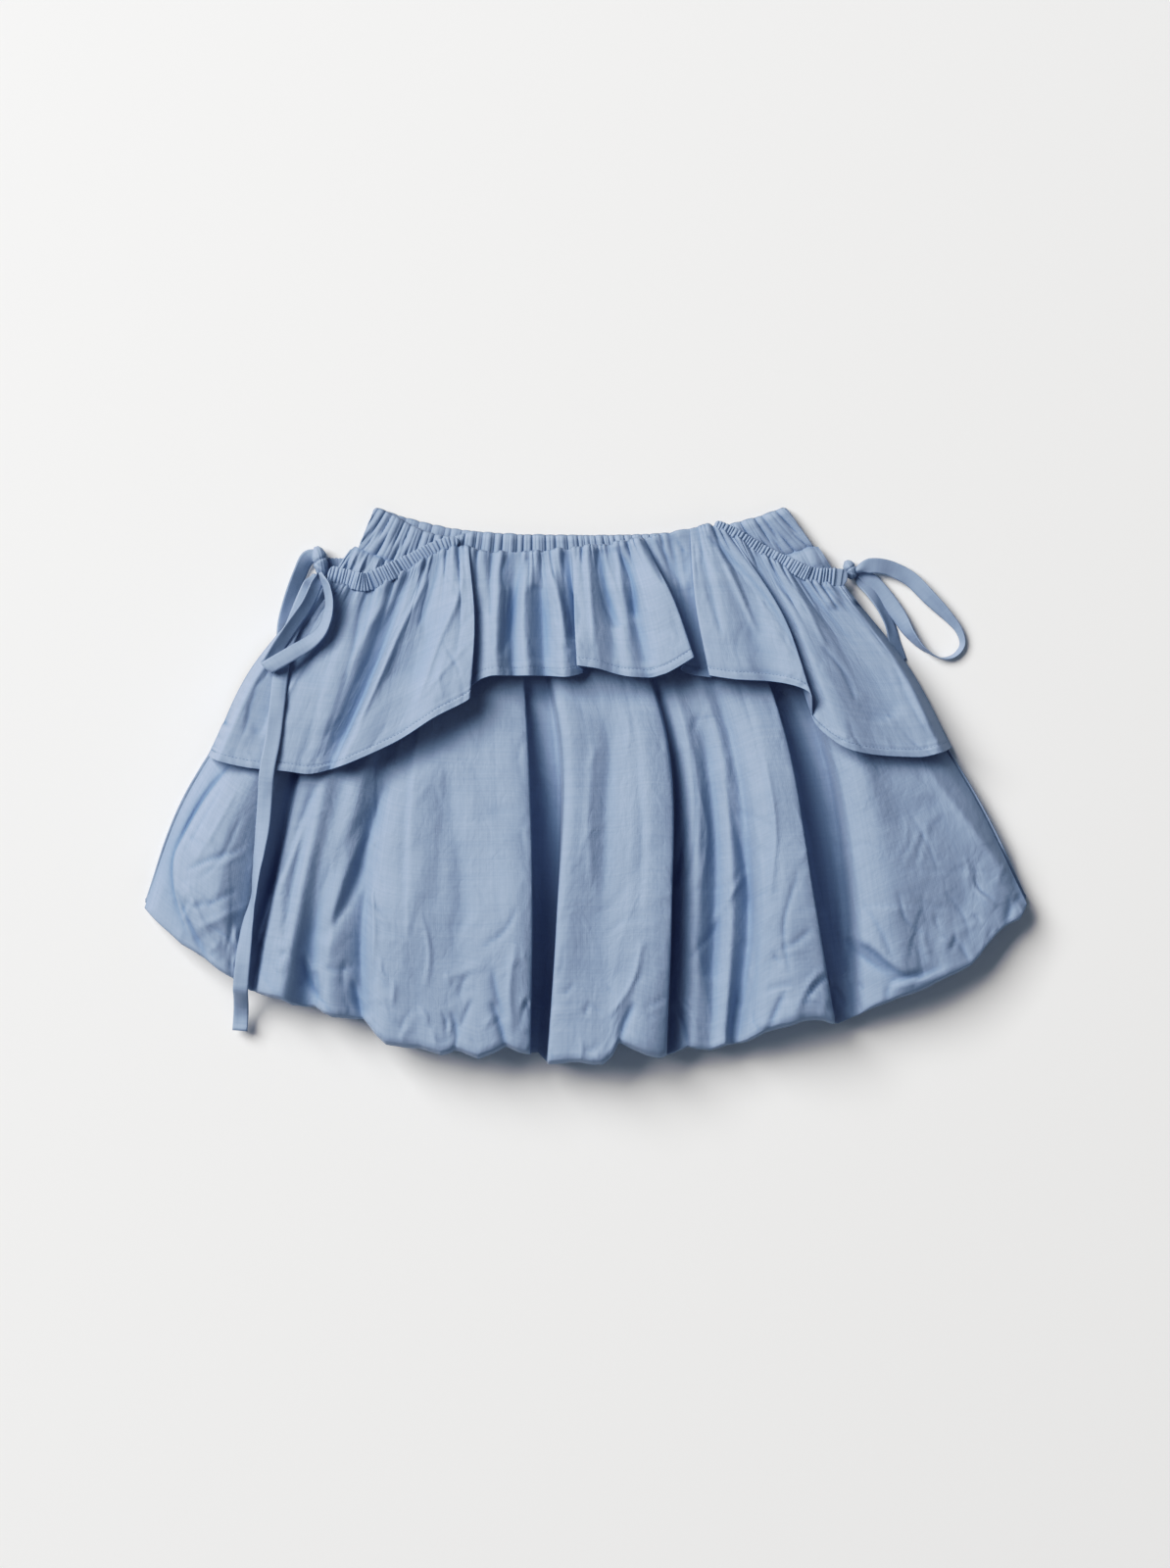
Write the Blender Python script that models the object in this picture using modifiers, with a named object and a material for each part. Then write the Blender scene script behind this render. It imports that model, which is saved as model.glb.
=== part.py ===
"""Elastic waist skirt with a balloon hem and a tied overskirt flounce, laid flat.

+X runs to the right of the front, +Y from the hem to the waist, +Z up from the surface it lies on.
The origin is under the middle of the skirt. Metres; the tables are in millimetres.
"""
import math
from collections import namedtuple

import bmesh
import bpy
import numpy as np

MM = 0.001

# Cloth and seams
CLOTH_WALL = 1.2 * MM
CASING_WALL = 2.2 * MM
SEAM_GAP = 0.5 * MM
LAYER_GAP = 0.8 * MM
FLOOR_LAYER = CLOTH_WALL / 2

# Waistband, relaxed and laid flat
BAND_CENTRE_X = -3.5 * MM
BAND_HALF_TOP = 148.5 * MM
BAND_FLARE = 11.5 * MM
BAND_MIDDLE_Y = 178.5 * MM
BAND_END_RISE = 21 * MM
BAND_HEIGHT = 31 * MM
BAND_GATHERS = 36
BAND_WAVE = 0.6 * MM
BAND_BACK_Z = 3.4 * MM
BAND_FRONT_Z = 6.8 * MM

# Balloon hem: the cloth rolls under and returns inside the skirt
FRONT_RETURN = 26 * MM
FRONT_RETURN_Z = 12.5 * MM
BACK_RETURN = 22 * MM
BACK_RETURN_Z = 5.2 * MM
BACK_INSET = 7 * MM
RETURN_TAPER = 0.06
SMALLEST_ROLL = 5 * MM
SIDE_SEAM_DROP = 2 * MM
BACK_CORNER_Z = 1.2 * MM
BACK_SEAM_SLOPE = 0.1
BACK_STEP_STATION = 0.4
BACK_STEP_CLEARANCE = 3 * MM
BACK_STEP_LENGTH = 14 * MM
SIDE_CURL = 12 * MM
UPPER_STATION = 0.35
BELLY_STATION = 0.72

# Drawn-up casings and ties
CASING_GATHERS = 20
CASING_WAVE = 0.7 * MM
BACK_CASING_GATHERS = 8
BACK_CASING_WAVE = 0.25 * MM
CASING_LOWEST_Z = 8 * MM
CASING_GAP = 0.7 * MM
CASING_REACH = 7 * MM
CASING_LIFT = 2.6 * MM
TIE_WIDTH = 11 * MM
TIE_WALL = 1.1 * MM
TIE_REACH = 7 * MM

# Sections down each panel, as shares of its length
SHELL_ROWS = (0, 0.05, 0.12, 0.2, 0.28, 0.35, 0.44, 0.53, 0.62, 0.71, 0.8, 0.89, 0.96)
BACK_UPPER_ROWS = (0, 0.1, 0.3, 0.6, 1)
BACK_LOWER_ROWS = (0, 0.35, 0.7, 1)
FLOUNCE_ROWS = (0, 0.12, 0.25, 0.4, 0.55, 0.7, 0.85, 1)

CLOTH_COLOUR = (0.36, 0.46, 0.60, 1.0)
CLOTH_ROUGHNESS = 0.75

# Folds of the front shell, left to right: where each crest or valley starts at the waist seam, where
# it crosses the flounce's hem line and the belly, where it reaches the hem, and its height there.
ShellFold = namedtuple("ShellFold", "name waist_x upper_x belly_x hem_x hem_y upper_z belly_z hem_z")
SHELL_FOLDS = [
    ShellFold("left side", -164, -231, -291, -316, -88, 9, 10, 13),
    ShellFold("side strip", -161, -225, -289, -304, -101, 14, 20, 21),
    ShellFold("side crease", -158, -217, -284, -288, -114, 15, 17, 19),
    ShellFold("left puff", -153, -208, -260, -254, -139, 24, 42, 35),
    ShellFold("left valley", -144, -186, -219, -238, -142, 20, 18, 19),
    ShellFold("second puff", -136, -173, -206, -219, -153, 25, 42, 33),
    ShellFold("pinch valley", -128, -158, -191, -199, -157, 22, 25, 21),
    ShellFold("third ridge", -121, -147, -177, -178, -166, 26, 41, 34),
    ShellFold("third valley", -113, -136, -163, -158, -171, 23, 27, 23),
    ShellFold("wide ridge, left", -103, -121, -134, -135, -187, 30, 49, 40),
    ShellFold("wide ridge, dip", -80, -89, -91, -93, -190, 29, 46, 36),
    ShellFold("wide ridge, right", -56, -54, -48, -52, -191, 31, 52, 42),
    ShellFold("wide ridge, edge", -50, -40, -35, -37, -188, 26, 38, 32),
    ShellFold("deep valley", -46, -28, -28, -30, -184, 15, 17, 19),
    ShellFold("centre ridge, face", -42, -16, -19, -22, -194, 24, 36, 31),
    ShellFold("centre ridge, left", -36, 0, -5, -5, -198, 32, 50, 42),
    ShellFold("centre ridge, dip", -16, 20, 15, 16, -194, 29, 44, 34),
    ShellFold("centre ridge, right", 10, 42, 46, 38, -194, 33, 52, 42),
    ShellFold("centre ridge, edge", 20, 55, 61, 57, -189, 27, 38, 32),
    ShellFold("second valley", 27, 62, 68, 66, -184, 21, 23, 21),
    ShellFold("narrow ridge", 34, 73, 77, 76, -188, 30, 41, 34),
    ShellFold("narrow dip", 42, 82, 84, 87, -184, 26, 35, 29),
    ShellFold("fourth ridge", 50, 93, 94, 96, -187, 31, 47, 38),
    ShellFold("crease", 60, 103, 115, 106, -180, 26, 32, 25),
    ShellFold("right ridge, left", 72, 114, 131, 124, -184, 30, 48, 38),
    ShellFold("right ridge, right", 95, 133, 159, 162, -169, 31, 50, 40),
    ShellFold("right ridge, edge", 101, 142, 169, 176, -171, 25, 36, 30),
    ShellFold("right valley", 106, 150, 177, 185, -165, 18, 19, 20),
    ShellFold("right puff, face", 112, 160, 189, 199, -165, 24, 34, 29),
    ShellFold("right puff", 122, 177, 212, 231, -151, 28, 46, 38),
    ShellFold("right puff, dip", 135, 193, 236, 256, -140, 25, 39, 33),
    ShellFold("corner ridge", 146, 206, 262, 283, -119, 24, 37, 32),
    ShellFold("right edge", 156, 216, 276, 305, -98, 14, 20, 21),
    ShellFold("right side", 163, 222, 281, 316, -77, 9, 10, 13),
]

# Upper edge of the flounce: it dips below the band at both hips and lies over it in the middle
EdgePoint = namedtuple("EdgePoint", "x y")
FLOUNCE_TOP = [
    EdgePoint(-184, 145), EdgePoint(-172, 142), EdgePoint(-158, 139), EdgePoint(-142, 145),
    EdgePoint(-121, 157), EdgePoint(-103, 168), EdgePoint(-92, 171), EdgePoint(-79, 167),
    EdgePoint(-50, 166), EdgePoint(-16, 168), EdgePoint(14, 171), EdgePoint(44, 176),
    EdgePoint(75, 183), EdgePoint(91, 185), EdgePoint(104, 179), EdgePoint(121, 168),
    EdgePoint(141, 156), EdgePoint(159, 146), EdgePoint(183, 142),
]

# Folds of the flounce, left to right: x at its upper edge, half way and at the hem, and its lift
# above the shell there. The side folds come down to the floor instead, at their own height.
FlounceFold = namedtuple("FlounceFold", "name top_x middle_x hem_x hem_y middle_lift hem_lift")
FLOUNCE_FOLDS = [
    FlounceFold("left side", -187, -247, -272, 20, 1, 1),
    FlounceFold("left side ridge", -182, -238, -261, 16, 3, 4),
    FlounceFold("left flare valley", -174, -216, -236, 11, 3, 4),
    FlounceFold("left flare", -166, -196, -213, 9, 7, 9),
    FlounceFold("left of trough", -155, -172, -196, 7, 8, 9),
    FlounceFold("trough", -126, -149, -181, 11, 3, 4),
    FlounceFold("right of trough", -118, -138, -165, 14, 9, 13),
    FlounceFold("soft valley", -105, -119, -134, 30, 5, 7),
    FlounceFold("fan ridge", -94, -98, -110, 46, 9, 14),
    FlounceFold("first tip", -84, -83, -84, 61, 11, 17),
    FlounceFold("first pleat", -78, -76, -76, 69, 5, 6),
    FlounceFold("second tip", -69, -68, -68, 76, 10, 16),
    FlounceFold("second panel, left", -53, -59, -60, 77, 11, 17),
    FlounceFold("second panel, dip", -40, -44, -40, 77, 8, 12),
    FlounceFold("second panel, right", -29, -20, -17, 76, 11, 17),
    FlounceFold("second pleat", -16, -11, -7, 79, 4, 5),
    FlounceFold("third tip", -5, -2, 0, 83, 11, 19),
    FlounceFold("third dip", 7, 17, 24, 78, 6, 13),
    FlounceFold("third panel", 24, 38, 48, 77, 11, 19),
    FlounceFold("third panel, edge", 36, 58, 74, 86, 13, 19),
    FlounceFold("third pleat", 53, 70, 83, 79, 5, 7),
    FlounceFold("fourth tip", 75, 82, 92, 77, 11, 16),
    FlounceFold("fourth panel", 86, 102, 116, 73, 11, 15),
    FlounceFold("fourth dip", 98, 125, 141, 71, 8, 10),
    FlounceFold("fourth panel, edge", 110, 140, 160, 60, 12, 16),
    FlounceFold("fourth pleat", 122, 152, 171, 40, 5, 6),
    FlounceFold("right flare", 136, 167, 187, 24, 8, 10),
    FlounceFold("right flare valley", 151, 188, 212, 20, 4, 5),
    FlounceFold("right side ridge", 166, 208, 238, 18, 6, 7),
    FlounceFold("right fold", 179, 223, 253, 22, 3, 4),
    FlounceFold("right side", 186, 232, 263, 28, 1, 1),
]
FLOUNCE_SIDE_Z = 5.5 * MM
FLOUNCE_CLEARANCE = 1.8 * MM
FLOUNCE_REACH = 9 * MM
FLOUNCE_SIDE_REACH = 5 * MM
GATHER_DIP = 0.8 * MM
GATHER_REACH = 0.3

# Back flounce, flat on the surface: upper edge and hem, left to right
BackFold = namedtuple("BackFold", "name top_x top_y hem_x hem_y")
BACK_FLOUNCE_FOLDS = [
    BackFold("left side", -183, 156, -259, 22),
    BackFold("left hip", -146, 157, -206, 14),
    BackFold("left back", -80, 168, -110, 32),
    BackFold("middle back", -2, 166, -2, 44),
    BackFold("right back", 76, 168, 108, 34),
    BackFold("right hip", 146, 155, 202, 20),
    BackFold("right side", 182, 147, 252, 28),
]

# Ties: x and y of the strip's middle line, its height above what it lies on, and its roll from lying
# flat, in degrees
TiePoint = namedtuple("TiePoint", "x y lift roll")
LEFT_UNDER_TIE = [
    TiePoint(-199.6, 160, 6.5, 0), TiePoint(-207, 153, 4, 4), TiePoint(-212, 144, 1.4, 0),
    TiePoint(-218, 130, 0.8, 0), TiePoint(-224, 117, 0.8, 0), TiePoint(-229, 106, 0.8, 0),
]
LEFT_TAIL = [
    TiePoint(-194.2, 149.9, -1.6, 0), TiePoint(-199, 137, 3.2, 0), TiePoint(-205, 122, 2.6, 0),
    TiePoint(-214, 98, 2, 0), TiePoint(-217, 79, 2, 0), TiePoint(-219, 57, 2, 0), TiePoint(-222, 31, 2, 0),
    TiePoint(-226, 7, 2, -8), TiePoint(-229, -29, 3, 22), TiePoint(-234, -63, 5, 58),
    TiePoint(-236, -82, 5.5, 70), TiePoint(-241, -106, 3, 34), TiePoint(-244, -130, 2, 10),
    TiePoint(-246, -152, 2, 6), TiePoint(-248, -177, 2, 4),
]
LEFT_LOOP = [
    TiePoint(-198, 154, 0, -6), TiePoint(-201, 140, 5, -46), TiePoint(-207, 126, 8, -52),
    TiePoint(-214, 112, 8, -50), TiePoint(-222, 99, 8, -56), TiePoint(-226, 90, 8, -80),
    TiePoint(-220, 85, 8, -130), TiePoint(-208, 90, 7, -150), TiePoint(-196, 100, 7, -158),
    TiePoint(-187, 113, 7, -145), TiePoint(-183, 127, 7, -130), TiePoint(-184, 141, 6, -130),
    TiePoint(-187, 153.6, 1, -174),
]
RIGHT_UNDER_TIE = [
    TiePoint(193.6, 152.6, 0.8, 0), TiePoint(206, 138, 0.8, 0), TiePoint(214, 122, 0.8, 0),
    TiePoint(221, 107, 0.8, 0), TiePoint(227, 93, 0.8, 0),
]
RIGHT_LOOP = [
    TiePoint(196, 157, 7.5, 0), TiePoint(203, 156, 8, 8), TiePoint(212, 156, 7.5, 0),
    TiePoint(222, 154, 5, 0), TiePoint(234, 146, 4, 12), TiePoint(247, 133, 5, 34),
    TiePoint(259, 121, 6, 58), TiePoint(268, 110, 6.3, 76), TiePoint(271, 99, 6.3, 86),
    TiePoint(265, 91, 6.3, 92), TiePoint(255, 90, 6.3, 100), TiePoint(243, 97, 6.3, 110),
    TiePoint(233, 109, 6, 136), TiePoint(226, 123, 4, 168), TiePoint(217, 136, 3.2, 176),
    TiePoint(207, 147, 3.4, 180), TiePoint(199, 152, 3.8, 180),
]
# Knots: centre, half sizes along, across and up, and the turn of the long side in degrees
Knot = namedtuple("Knot", "x y z half_x half_y half_z turn")
LEFT_KNOT = Knot(-190.6, 160, 7.6, 7.6, 9.5, 7.2, 12)
RIGHT_KNOT = Knot(191.5, 156, 5.6, 4.6, 6.5, 5.3, -20)


def curve_through(knots, values, at):
    """Cubic curve through values given at uneven knots, read at other places."""
    knots = np.asarray(knots, dtype=float)
    values = np.asarray(values, dtype=float)
    at = np.asarray(at, dtype=float)
    slopes = np.gradient(values, knots, axis=0)
    low = np.clip(np.searchsorted(knots, at, side="right") - 1, 0, len(knots) - 2)
    shape = (-1,) + (1,) * (values.ndim - 1)
    width = (knots[low + 1] - knots[low]).reshape(shape)
    t = ((at - knots[low]).reshape(shape)) / width
    start = (2 * t**3 - 3 * t**2 + 1) * values[low] + (t**3 - 2 * t**2 + t) * width * slopes[low]
    end = (3 * t**2 - 2 * t**3) * values[low + 1] + (t**3 - t**2) * width * slopes[low + 1]
    return start + end


def band_edge_y(x, drop):
    """Height of the waistband's line at x: its ends curve up, and drop runs down across the band."""
    across = np.abs((x - BAND_CENTRE_X) / (BAND_HALF_TOP + BAND_FLARE * drop / BAND_HEIGHT))
    return BAND_MIDDLE_Y + BAND_END_RISE * np.minimum(across, 1.15)**3 - drop


def shell_fold_line(fold, along, roll_steps, return_steps):
    """Points down one fold of the front shell, round the hem's roll and back inside."""
    stations = (0, UPPER_STATION, BELLY_STATION, 1)
    return_z = min(FRONT_RETURN_Z, fold.hem_z * MM - SMALLEST_ROLL)
    half_roll = (fold.hem_z * MM - return_z) / 2
    places = np.array([fold.waist_x, fold.upper_x, fold.belly_x, fold.hem_x]) * MM
    heights = [BAND_FRONT_Z, fold.upper_z * MM, fold.belly_z * MM, fold.hem_z * MM]
    x = curve_through(stations, places, along)
    z = curve_through(stations, heights, along)
    start_y = band_edge_y(fold.waist_x * MM, BAND_HEIGHT + SEAM_GAP)
    hem_y = fold.hem_y * MM + half_roll
    y = start_y + (hem_y - start_y) * along
    down = np.column_stack([x, y, z])
    angle = np.linspace(math.pi / 2, -math.pi / 2, roll_steps + 2)[1:]
    roll = np.column_stack([
        np.full(len(angle), fold.hem_x * MM),
        hem_y - half_roll * np.cos(angle),
        return_z + half_roll + half_roll * np.sin(angle)])
    back = np.linspace(0, 1, return_steps + 1)[1:]
    inside = np.column_stack([
        fold.hem_x * MM * (1 - RETURN_TAPER * back),
        hem_y + FRONT_RETURN * back,
        np.full(len(back), return_z)])
    return np.vstack([down, roll, inside])


def across_folds(lines, columns_per_gap):
    """Sections through a set of fold lines: an array of rows by columns of points."""
    count = len(lines)
    at = np.linspace(0, count - 1, (count - 1) * columns_per_gap + 1)
    return curve_through(range(count), np.array(lines), at).transpose(1, 0, 2)


def front_shell_points(along, roll_steps, return_steps, columns_per_gap):
    lines = [shell_fold_line(fold, along, roll_steps, return_steps) for fold in SHELL_FOLDS]
    return across_folds(lines, columns_per_gap)


def back_flounce_hem_y(x):
    """Where the back flounce's hem runs at x."""
    hem = back_flounce_points(np.array([1.0]), 8)[0]
    return np.interp(x, hem[:, 0], hem[:, 1])


def back_shell_points(upper_rows, lower_rows, roll_steps, columns):
    """The back shell: it lies on the back flounce, steps down to the floor below that hem, curls up
    at both sides to the front shell, and rolls inwards at its own hem."""
    shares = np.linspace(0, 1, 41)
    left = shell_fold_line(SHELL_FOLDS[0], shares, 1, 1)[:len(shares)]
    right = shell_fold_line(SHELL_FOLDS[-1], shares, 1, 1)[:len(shares)]
    above_belly = shares < BELLY_STATION
    side_z = left[:, 2] - SIDE_SEAM_DROP
    belly_side_z = side_z[above_belly][-1]
    low_corner = np.interp(shares, (BELLY_STATION, 1), (belly_side_z, BACK_CORNER_Z))
    side_z = np.where(above_belly, side_z, low_corner)
    across = np.linspace(0, 1, columns + 1)
    edge = np.minimum(across, 1 - across)
    hem_x = left[-1, 0] + (right[-1, 0] - left[-1, 0]) * across
    hem_folds = np.array([(fold.hem_x, fold.hem_y) for fold in SHELL_FOLDS[::3]]) * MM
    hem_y = np.interp(hem_x, hem_folds[:, 0], hem_folds[:, 1]) + BACK_INSET
    top_x = left[0, 0] + (right[0, 0] - left[0, 0]) * across
    top_y = band_edge_y(top_x, BAND_HEIGHT + SEAM_GAP)
    step = int(len(shares) * BACK_STEP_STATION)
    step_x = left[step, 0] + (right[step, 0] - left[step, 0]) * across
    step_y = back_flounce_hem_y(step_x) - BACK_STEP_CLEARANCE
    foot_y = step_y - BACK_STEP_LENGTH
    on_flounce = FLOOR_LAYER + CLOTH_WALL + LAYER_GAP
    levels = [(top_y + (step_y - top_y) * share, on_flounce, share) for share in upper_rows]
    levels += [(foot_y + (hem_y - foot_y) * share, FLOOR_LAYER, 1 + share) for share in lower_rows]
    rows = []
    for y, rest, stage in levels:
        share = (top_y - y) / (top_y - hem_y)
        left_x = np.interp(share, shares, left[:, 0])
        right_x = np.interp(share, shares, right[:, 0])
        x = left_x * (1 - across) + right_x * across
        rest = rest + (BAND_BACK_Z - rest) * max(0, 1 - stage / BACK_SEAM_SLOPE)
        from_edge = edge * (x[-1] - x[0])
        curl = np.clip(1 - from_edge / SIDE_CURL, 0, 1)**2
        edge_z = np.maximum(np.interp(share, shares, side_z) - rest, 0)
        rows.append(np.column_stack([x, y, rest + edge_z * curl]))
    last = rows[-1]
    lift = BACK_RETURN_Z - FLOOR_LAYER
    for angle in np.linspace(0, math.pi, roll_steps + 1)[1:]:
        rise = (1 - math.cos(angle)) / 2 * lift
        rows.append(last + np.array([0, -math.sin(angle) * lift / 2, rise]))
    for inward in (0.5, 1):
        rows.append(last * (1 - RETURN_TAPER * inward, 1, 1) + np.array([0, BACK_RETURN * inward, lift]))
    return np.array(rows)


def cover_height(cover, x, y, reach):
    """Highest point of the cloth already laid within reach of each place."""
    heights = np.empty(len(x))
    for index in range(len(x)):
        near = np.hypot(cover[:, 0] - x[index], cover[:, 1] - y[index]) < reach
        heights[index] = cover[near, 2].max() if near.any() else 0.0
    return heights


def bridged(heights, passes):
    """Heights with their dips bridged, as cloth spans from crest to crest."""
    heights = np.array(heights)
    for _ in range(passes):
        for axis in range(heights.ndim):
            padded = np.concatenate([
                np.take(heights, [0], axis), heights, np.take(heights, [-1], axis)], axis)
            count = heights.shape[axis]
            before = np.take(padded, range(count), axis)
            after = np.take(padded, range(2, count + 2), axis)
            heights = np.maximum(heights, (before + after) / 2)
    return heights


def edge_y(edge, x):
    points = np.array(edge) * MM
    return curve_through(points[:, 0], points[:, 1], np.atleast_1d(x))


def front_flounce_points(cover, down, columns_per_gap):
    """The front flounce, lifted above the cloth that it covers, with gathers along its upper edge."""
    count = len(FLOUNCE_FOLDS)
    x = np.empty((count, len(down)))
    y = np.empty_like(x)
    base = np.empty_like(x)
    lift = np.empty_like(x)
    for index, fold in enumerate(FLOUNCE_FOLDS):
        x[index] = curve_through((0, 0.5, 1), np.array([fold.top_x, fold.middle_x, fold.hem_x]) * MM, down)
        top_y = edge_y(FLOUNCE_TOP, fold.top_x * MM)[0]
        y[index] = top_y + (fold.hem_y * MM - top_y) * down
        reach = FLOUNCE_SIDE_REACH if index in (0, count - 1) else FLOUNCE_REACH
        base[index] = cover_height(cover, x[index], y[index], reach)
        lift[index] = curve_through((0, 0.5, 1), np.array([0, fold.middle_lift, fold.hem_lift]) * MM, down)
    base[1:-1] = bridged(base[1:-1], 3)
    z = np.maximum(base + CLOTH_WALL + FLOUNCE_CLEARANCE + np.maximum(lift, 0), FLOUNCE_SIDE_Z)
    points = across_folds(np.dstack([x, y, z]), columns_per_gap)
    dip = GATHER_DIP * (np.arange(points.shape[1]) % 2)
    points[:, 1:-1, 2] -= np.outer(np.clip(1 - down / GATHER_REACH, 0, 1), dip)[:, 1:-1]
    return points


def back_flounce_points(down, columns_per_gap):
    lines = []
    for fold in BACK_FLOUNCE_FOLDS:
        start = np.array([fold.top_x, fold.top_y]) * MM
        end = np.array([fold.hem_x, fold.hem_y]) * MM
        flat = start + (end - start) * down[:, None]
        lines.append(np.column_stack([flat, np.full(len(down), FLOOR_LAYER)]))
    return across_folds(lines, columns_per_gap)


def band_points(middle_z, rows):
    """Half of the waistband: gathers run down it as waves."""
    across = np.linspace(-1, 1, BAND_GATHERS * 2 + 1)
    drop = np.linspace(0, 1, rows + 1)[:, None]
    x = BAND_CENTRE_X * (1 - drop) + (BAND_HALF_TOP + BAND_FLARE * drop) * across
    y = band_edge_y(x, BAND_HEIGHT * drop)
    wave = BAND_WAVE * np.where(np.arange(len(across)) % 2, 1, -1) * (0.6 + 0.4 * np.sin(math.pi * drop))
    return np.dstack([x, y, middle_z + wave + 0 * x])


def casing_points(edge, ends, widths, gathers, wave, base_at):
    """A drawn-up casing along the upper edge of a flounce: its lower edge, middle and top."""
    columns = gathers * 2 + 1
    x = np.linspace(ends[0], ends[1], columns) * MM
    y = edge_y(edge, x)
    along = np.gradient(np.column_stack([x, y]), axis=0)
    along /= np.linalg.norm(along, axis=1)[:, None]
    across = np.column_stack([-along[:, 1], along[:, 0]])
    width = np.interp(np.linspace(0, 1, columns), (0, 0.5, 1), widths) * MM
    ripple = wave * np.where(np.arange(columns) % 2, 1, -1)
    rows = []
    for share in (0, 0.5, 1):
        place = np.column_stack([x, y]) + across * (CASING_GAP + width * share)[:, None]
        rows.append(np.column_stack([place, base_at(place[:, 0], place[:, 1]) + ripple]))
    return np.array(rows)


def tie_points(rows, cover, steps):
    """A flat strip along its middle line, rolled about that line and laid on the cloth below."""
    table = np.array(rows, dtype=float)
    table[:, :3] *= MM
    table[:, 3] = np.radians(table[:, 3])
    at = np.linspace(0, len(rows) - 1, (len(rows) - 1) * steps + 1)
    line = curve_through(range(len(rows)), table, at)
    line[:, 2] += bridged(cover_height(cover, line[:, 0], line[:, 1], TIE_REACH), 3)
    heading = np.gradient(line[:, :3], axis=0)
    heading /= np.linalg.norm(heading, axis=1)[:, None]
    level = np.cross(heading, (0, 0, 1))
    level /= np.linalg.norm(level, axis=1)[:, None]
    upright = np.cross(level, heading)
    side = level * np.cos(line[:, 3:]) + upright * np.sin(line[:, 3:])
    return np.array([line[:, :3] + side * TIE_WIDTH * share for share in (-0.5, 0, 0.5)])


def cloth_material(name):
    material = bpy.data.materials.new(name)
    material.use_nodes = True
    shader = material.node_tree.nodes["Principled BSDF"]
    shader.inputs["Base Color"].default_value = CLOTH_COLOUR
    shader.inputs["Roughness"].default_value = CLOTH_ROUGHNESS
    shader.inputs["Metallic"].default_value = 0.0
    return material


def add_sheet(collection, name, points, wall):
    """A piece of cloth: an open sheet of quads with an even wall about its middle surface."""
    rows, columns = points.shape[:2]
    mesh = bpy.data.meshes.new(name)
    corners = [
        (row * columns + column, row * columns + column + 1,
         (row + 1) * columns + column + 1, (row + 1) * columns + column)
        for row in range(rows - 1) for column in range(columns - 1)]
    mesh.from_pydata(points.reshape(-1, 3).tolist(), [], corners)
    mesh.materials.append(cloth_material(name + "_cloth"))
    mesh.shade_smooth()
    sheet = bpy.data.objects.new(name, mesh)
    collection.objects.link(sheet)
    solid = sheet.modifiers.new("Wall", "SOLIDIFY")
    solid.thickness = wall
    solid.offset = 0
    return sheet


def add_knot(collection, name, knot):
    """A tied knot, as a flattened ball with a waist where the strands pull in."""
    mesh = bpy.data.meshes.new(name)
    ball = bmesh.new()
    bmesh.ops.create_uvsphere(ball, u_segments=14, v_segments=8, radius=1)
    turn = math.radians(knot.turn)
    for vertex in ball.verts:
        x, y, z = vertex.co
        pinch = 1 - 0.18 * math.cos(2 * math.atan2(y, x))
        x *= knot.half_x * pinch
        y *= knot.half_y * pinch
        vertex.co = (
            (knot.x + x * math.cos(turn) - y * math.sin(turn)) * MM,
            (knot.y + x * math.sin(turn) + y * math.cos(turn)) * MM,
            (knot.z + z * knot.half_z) * MM)
    ball.to_mesh(mesh)
    ball.free()
    mesh.materials.append(cloth_material(name + "_cloth"))
    mesh.shade_smooth()
    piece = bpy.data.objects.new(name, mesh)
    collection.objects.link(piece)
    return piece


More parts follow.
